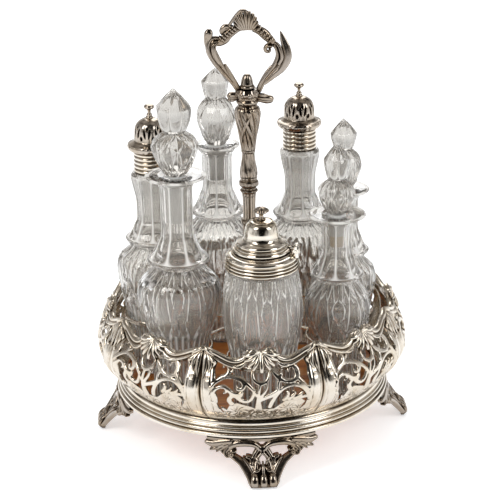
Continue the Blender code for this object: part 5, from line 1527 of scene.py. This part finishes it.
def mustard_lid(plain):
    """Domed lid with its own knuckle and arm."""
    low, top = LID_LOW, LID_TOP
    outline = spline([
        (0.05, top - 1.4, 1), (8.6, top - 2.8), (11.2, top - 7.4), (11.4, low + 9.0),
        (17.0, low + 5.6), (18.4, low, 1), (20.9, low, 1), (21.7, low + 0.7), (21.8, low + 1.7),
        (21.2, low + 2.6, 1), (20.2, low + 3.0), (20.4, low + 3.9), (19.6, low + 4.6, 1),
        (19.0, low + 5.0), (19.4, low + 6.2), (18.4, low + 7.6), (16.4, low + 8.6),
        (14.4, low + 9.5), (13.3, low + 11.2), (12.9, low + 13.2), (12.6, low + 16.0),
        (11.4, top - 4.0), (9.4, top - 1.9), (8.2, top - 1.5, 1), (8.8, top - 1.1),
        (8.4, top - 0.6), (6.0, top - 0.2), (2.6, top, 1), (0.05, top, 1),
    ], 5)
    builder = Builder()
    builder.turned(outline, 128)
    builder.tube(on_pin(-2.2, 2.2, 8), 2.05, sides=20, normal=UP)
    arm = np.array([polar(r, HINGE_ANGLE, z) for r, z in (
        (19.6, low + 2.0), (22.6, low + 2.3), (25.0, HINGE_HEIGHT))])
    builder.tube(arm, (1.3, 1.5, 1.6), sides=12, flat=1.5, normal=UP)
    builder.object("mustard_dome_lid", [plain], "mustard_lid", "silver", ["mustard_lid"],
                   at=MUSTARD_SPOT)


def mustard_pin(silver):
    builder = Builder()
    radii = (0.7, 1.2, 1.0, 1.0, 1.0, 1.0, 1.2, 0.7)
    builder.tube(on_pin(-7.8, 7.8, 8), radii, sides=12, normal=UP)
    builder.object("mustard_hinge_pin", [silver], "mustard", "silver", ["hinge_pin"],
                   at=MUSTARD_SPOT)


def mustard_button(engraved):
    """Button of six petals on the lid."""
    low = LID_TOP + 0.3

    def petals(angle, height, radius):
        hollow = 1.3 - 1.3 * np.abs(np.sin(angle * 3)) ** 0.6
        return -hollow * (height > low + 4.8) * (radius > 1.5)

    turned_piece("mustard_button", engraved, "mustard_lid", "silver", "lid_button", spline([
        (0.05, low, 1), (3.0, low, 1), (3.2, low + 0.6), (2.0, low + 1.4), (1.7, low + 3.0),
        (2.4, low + 4.6), (4.8, low + 5.4), (6.0, low + 6.2), (6.0, low + 7.0),
        (5.0, low + 8.2), (2.6, low + 9.3), (0.05, low + 9.6, 1),
    ], 5), 64, MUSTARD_SPOT, sharp=40.0, relief=petals)


# ---------------------------------------------------------------- studio


FLOOR_SIZE = 4.0
BELOW_FEET = -0.0002
CAMERA_TURN, CAMERA_TILT, CAMERA_ROLL = -3.5, 20.98, -1.0
CAMERA_PLACE = (0.0, -1.3956, 0.6832)
CAMERA_LENS, SENSOR = 134.86, 36.0
LAMP_TARGET = Vector((0.0, 0.0, 0.14))
LAMPS = (
    ("key", (-0.9, -0.75, 1.25), 0.55, 9.0, (1.0, 0.985, 0.96)),
    ("fill", (1.0, -0.7, 0.95), 0.50, 5.0, (0.97, 0.985, 1.0)),
    ("back", (0.1, 1.1, 1.1), 0.8, 7.0, (1.0, 1.0, 1.0)),
)


def staged(name, data):
    """New object of the studio."""
    item = bpy.data.objects.new(name, data)
    bpy.context.scene.collection.objects.link(item)
    return item


def pale_floor():
    """White floor that glows a little where it is seen."""
    mesh = bpy.data.meshes.new("floor")
    corners = [(x * FLOOR_SIZE, y * FLOOR_SIZE, 0)
               for x, y in ((-1, -1), (1, -1), (1, 1), (-1, 1))]
    mesh.from_pydata(corners, [], [(0, 1, 2, 3)])
    floor = staged("floor", mesh)
    floor.location.z = BELOW_FEET
    mat = bpy.data.materials.new("pale_floor")
    mat.use_nodes = True
    tree = mat.node_tree
    tree.nodes.clear()
    diffuse = node(tree, "BsdfDiffuse", Color=(0.86, 0.86, 0.86, 1.0))
    glow = node(tree, "Emission", Color=(*WHITE, 1.0), Strength=0.52)
    both = node(tree, "AddShader", diffuse.outputs[0], glow.outputs[0])
    rays = tree.nodes.new("ShaderNodeLightPath").outputs
    seen = compute(tree, "MAXIMUM", rays["Is Camera Ray"], rays["Is Glossy Ray"])
    seen = compute(tree, "MAXIMUM", seen, rays["Is Transmission Ray"])
    node(tree, "OutputMaterial", Surface=blend(tree, seen, diffuse, both).outputs[0])
    mesh.materials.append(mat)


def facing(tree, direction, toward):
    """0 to 1 from behind to straight ahead of a direction."""
    made = node(tree, "VectorMath", direction, toward)
    made.operation = "DOT_PRODUCT"
    return halved(tree, made.outputs["Value"])


def studio_world(scene):
    """White for the camera, and for gloss and glass a studio with dark walls in front."""
    world = bpy.data.worlds.new("studio")
    scene.world = world
    world.use_nodes = True
    tree = world.node_tree
    tree.nodes.clear()
    rays = tree.nodes.new("ShaderNodeLightPath").outputs
    direction = tree.nodes.new("ShaderNodeTexCoord").outputs["Generated"]
    parts = node(tree, "SeparateXYZ", direction)
    upper = ramp(tree, halved(tree, parts.outputs["Z"]), (
        (0.50, WHITE), (0.60, (0.88, 0.88, 0.88)), (0.75, (0.50, 0.475, 0.455)),
        (1.0, (0.46, 0.425, 0.39)),
    ))
    ceiling = ramp(tree, facing(tree, direction, (0.05, -0.79, 0.61)), (
        (0.80, WHITE), (0.88, (0.30, 0.285, 0.27)), (0.94, (0.08, 0.075, 0.07)),
        (1.0, (0.06, 0.056, 0.052)),
    ))
    doorway = ramp(tree, facing(tree, direction, (0.02, -0.955, 0.295)), (
        (0.955, WHITE), (0.975, (0.07, 0.065, 0.06)), (1.0, (0.05, 0.048, 0.045)),
    ))
    walls = ramp(tree, noise(tree, direction, 2.6, 2.0, 0.5), (
        (0.36, (0.13, 0.125, 0.12)), (0.46, (0.62, 0.61, 0.60)), (0.55, WHITE),
    ))
    dark = multiply(tree, multiply(tree, multiply(tree, upper, ceiling), doorway), walls)
    room = node(tree, "Background", Strength=1.0, Color=dark)
    light = node(tree, "Background", Color=(0.95, 0.97, 1.0, 1.0), Strength=0.55)
    white = node(tree, "Background", Color=(*WHITE, 1.0), Strength=1.0)
    bent = compute(tree, "MAXIMUM", rays["Is Glossy Ray"], rays["Is Transmission Ray"])
    both = blend(tree, rays["Is Camera Ray"], blend(tree, bent, light, room), white)
    node(tree, "OutputWorld", Surface=both.outputs[0])


def lamps():
    for name, spot_at, width, power, color in LAMPS:
        data = bpy.data.lights.new(name, "AREA")
        data.shape = "RECTANGLE"
        data.size, data.size_y = width, width * 1.5
        data.energy = power
        data.color = color
        lamp = staged(name, data)
        lamp.location = spot_at
        aim = LAMP_TARGET - lamp.location
        lamp.rotation_euler = aim.to_track_quat("-Z", "Y").to_euler()


def camera():
    data = bpy.data.cameras.new("camera")
    data.lens = CAMERA_LENS
    data.sensor_width = SENSOR
    data.clip_start, data.clip_end = 0.05, 20.0
    item = staged("camera", data)
    item.matrix_world = (
        Matrix.Rotation(math.radians(CAMERA_TURN), 4, "Z")
        @ Matrix.Translation(CAMERA_PLACE)
        @ Matrix.Rotation(math.radians(90.0 - CAMERA_TILT), 4, "X")
        @ Matrix.Rotation(math.radians(CAMERA_ROLL), 4, "Z")
    )
    bpy.context.scene.camera = item


def studio():
    scene = bpy.context.scene
    scene.view_settings.view_transform = "Standard"
    pale_floor()
    studio_world(scene)
    lamps()
    camera()


def main():
    silver = silver_plate("silver_plate")
    cast = silver_plate("cast_silver", tone=(0.70, 0.65, 0.58), reach=3.4, rough=(0.12, 0.28),
                        dents=0.12)
    # partly tarnish, partly painted shade: the handle, column and feet get a much darker silver
    # tone, standing in for the dark surroundings they reflect
    tarnished_and_shaded = silver_plate("tarnished_and_shaded_silver", tone=(0.365, 0.32, 0.278), dark=(0.012, 0.008, 0.005),
                           reach=4.2, rough=(0.10, 0.24), wear=0.45, dents=0.18, shade_and_tarnish_stop=0.58)
    plain = silver_plate("polished_silver", tone=(0.82, 0.775, 0.70), reach=2.0,
                         rough=(0.06, 0.16), dents=0.03)
    # partly tarnish, partly painted shade: the caps and button get a darker silver tone, standing
    # in for the dark surroundings they reflect
    engraved = silver_plate("engraved_silver", tone=(0.49, 0.438, 0.382), reach=2.6,
                            rough=(0.12, 0.26), dents=0.10, shade_and_tarnish_stop=0.55, slots=True)
    glass = cut_glass("cut_glass")
    clear = cut_glass("clear_cut_glass", high=(0.80, 0.785, 0.755))
    ground = ground_glass("ground_glass")
    stained = ground_glass("stained_ground_glass", stain=(122.0, 132.0))
    wood = mahogany("mahogany")
    base_ring(silver, wood)
    gallery(cast)
    feet(tarnished_and_shaded)
    column(tarnished_and_shaded)
    handle(tarnished_and_shaded)
    bottle_frame(silver)
    for key, sizes in BOTTLES.items():
        stoppered_bottle(key, sizes, clear)
        cut_stopper(key, sizes, glass, stained if key == "soy" else ground)
    for key, angle in SHAKERS.items():
        shaker_glass(key, angle, glass)
        shaker_collar(key, angle, silver)
        shaker_cap(key, angle, engraved)
    mustard_jar(glass)
    mustard_collar(plain)
    mustard_lid(plain)
    mustard_pin(silver)
    mustard_button(engraved)
    studio()


main()
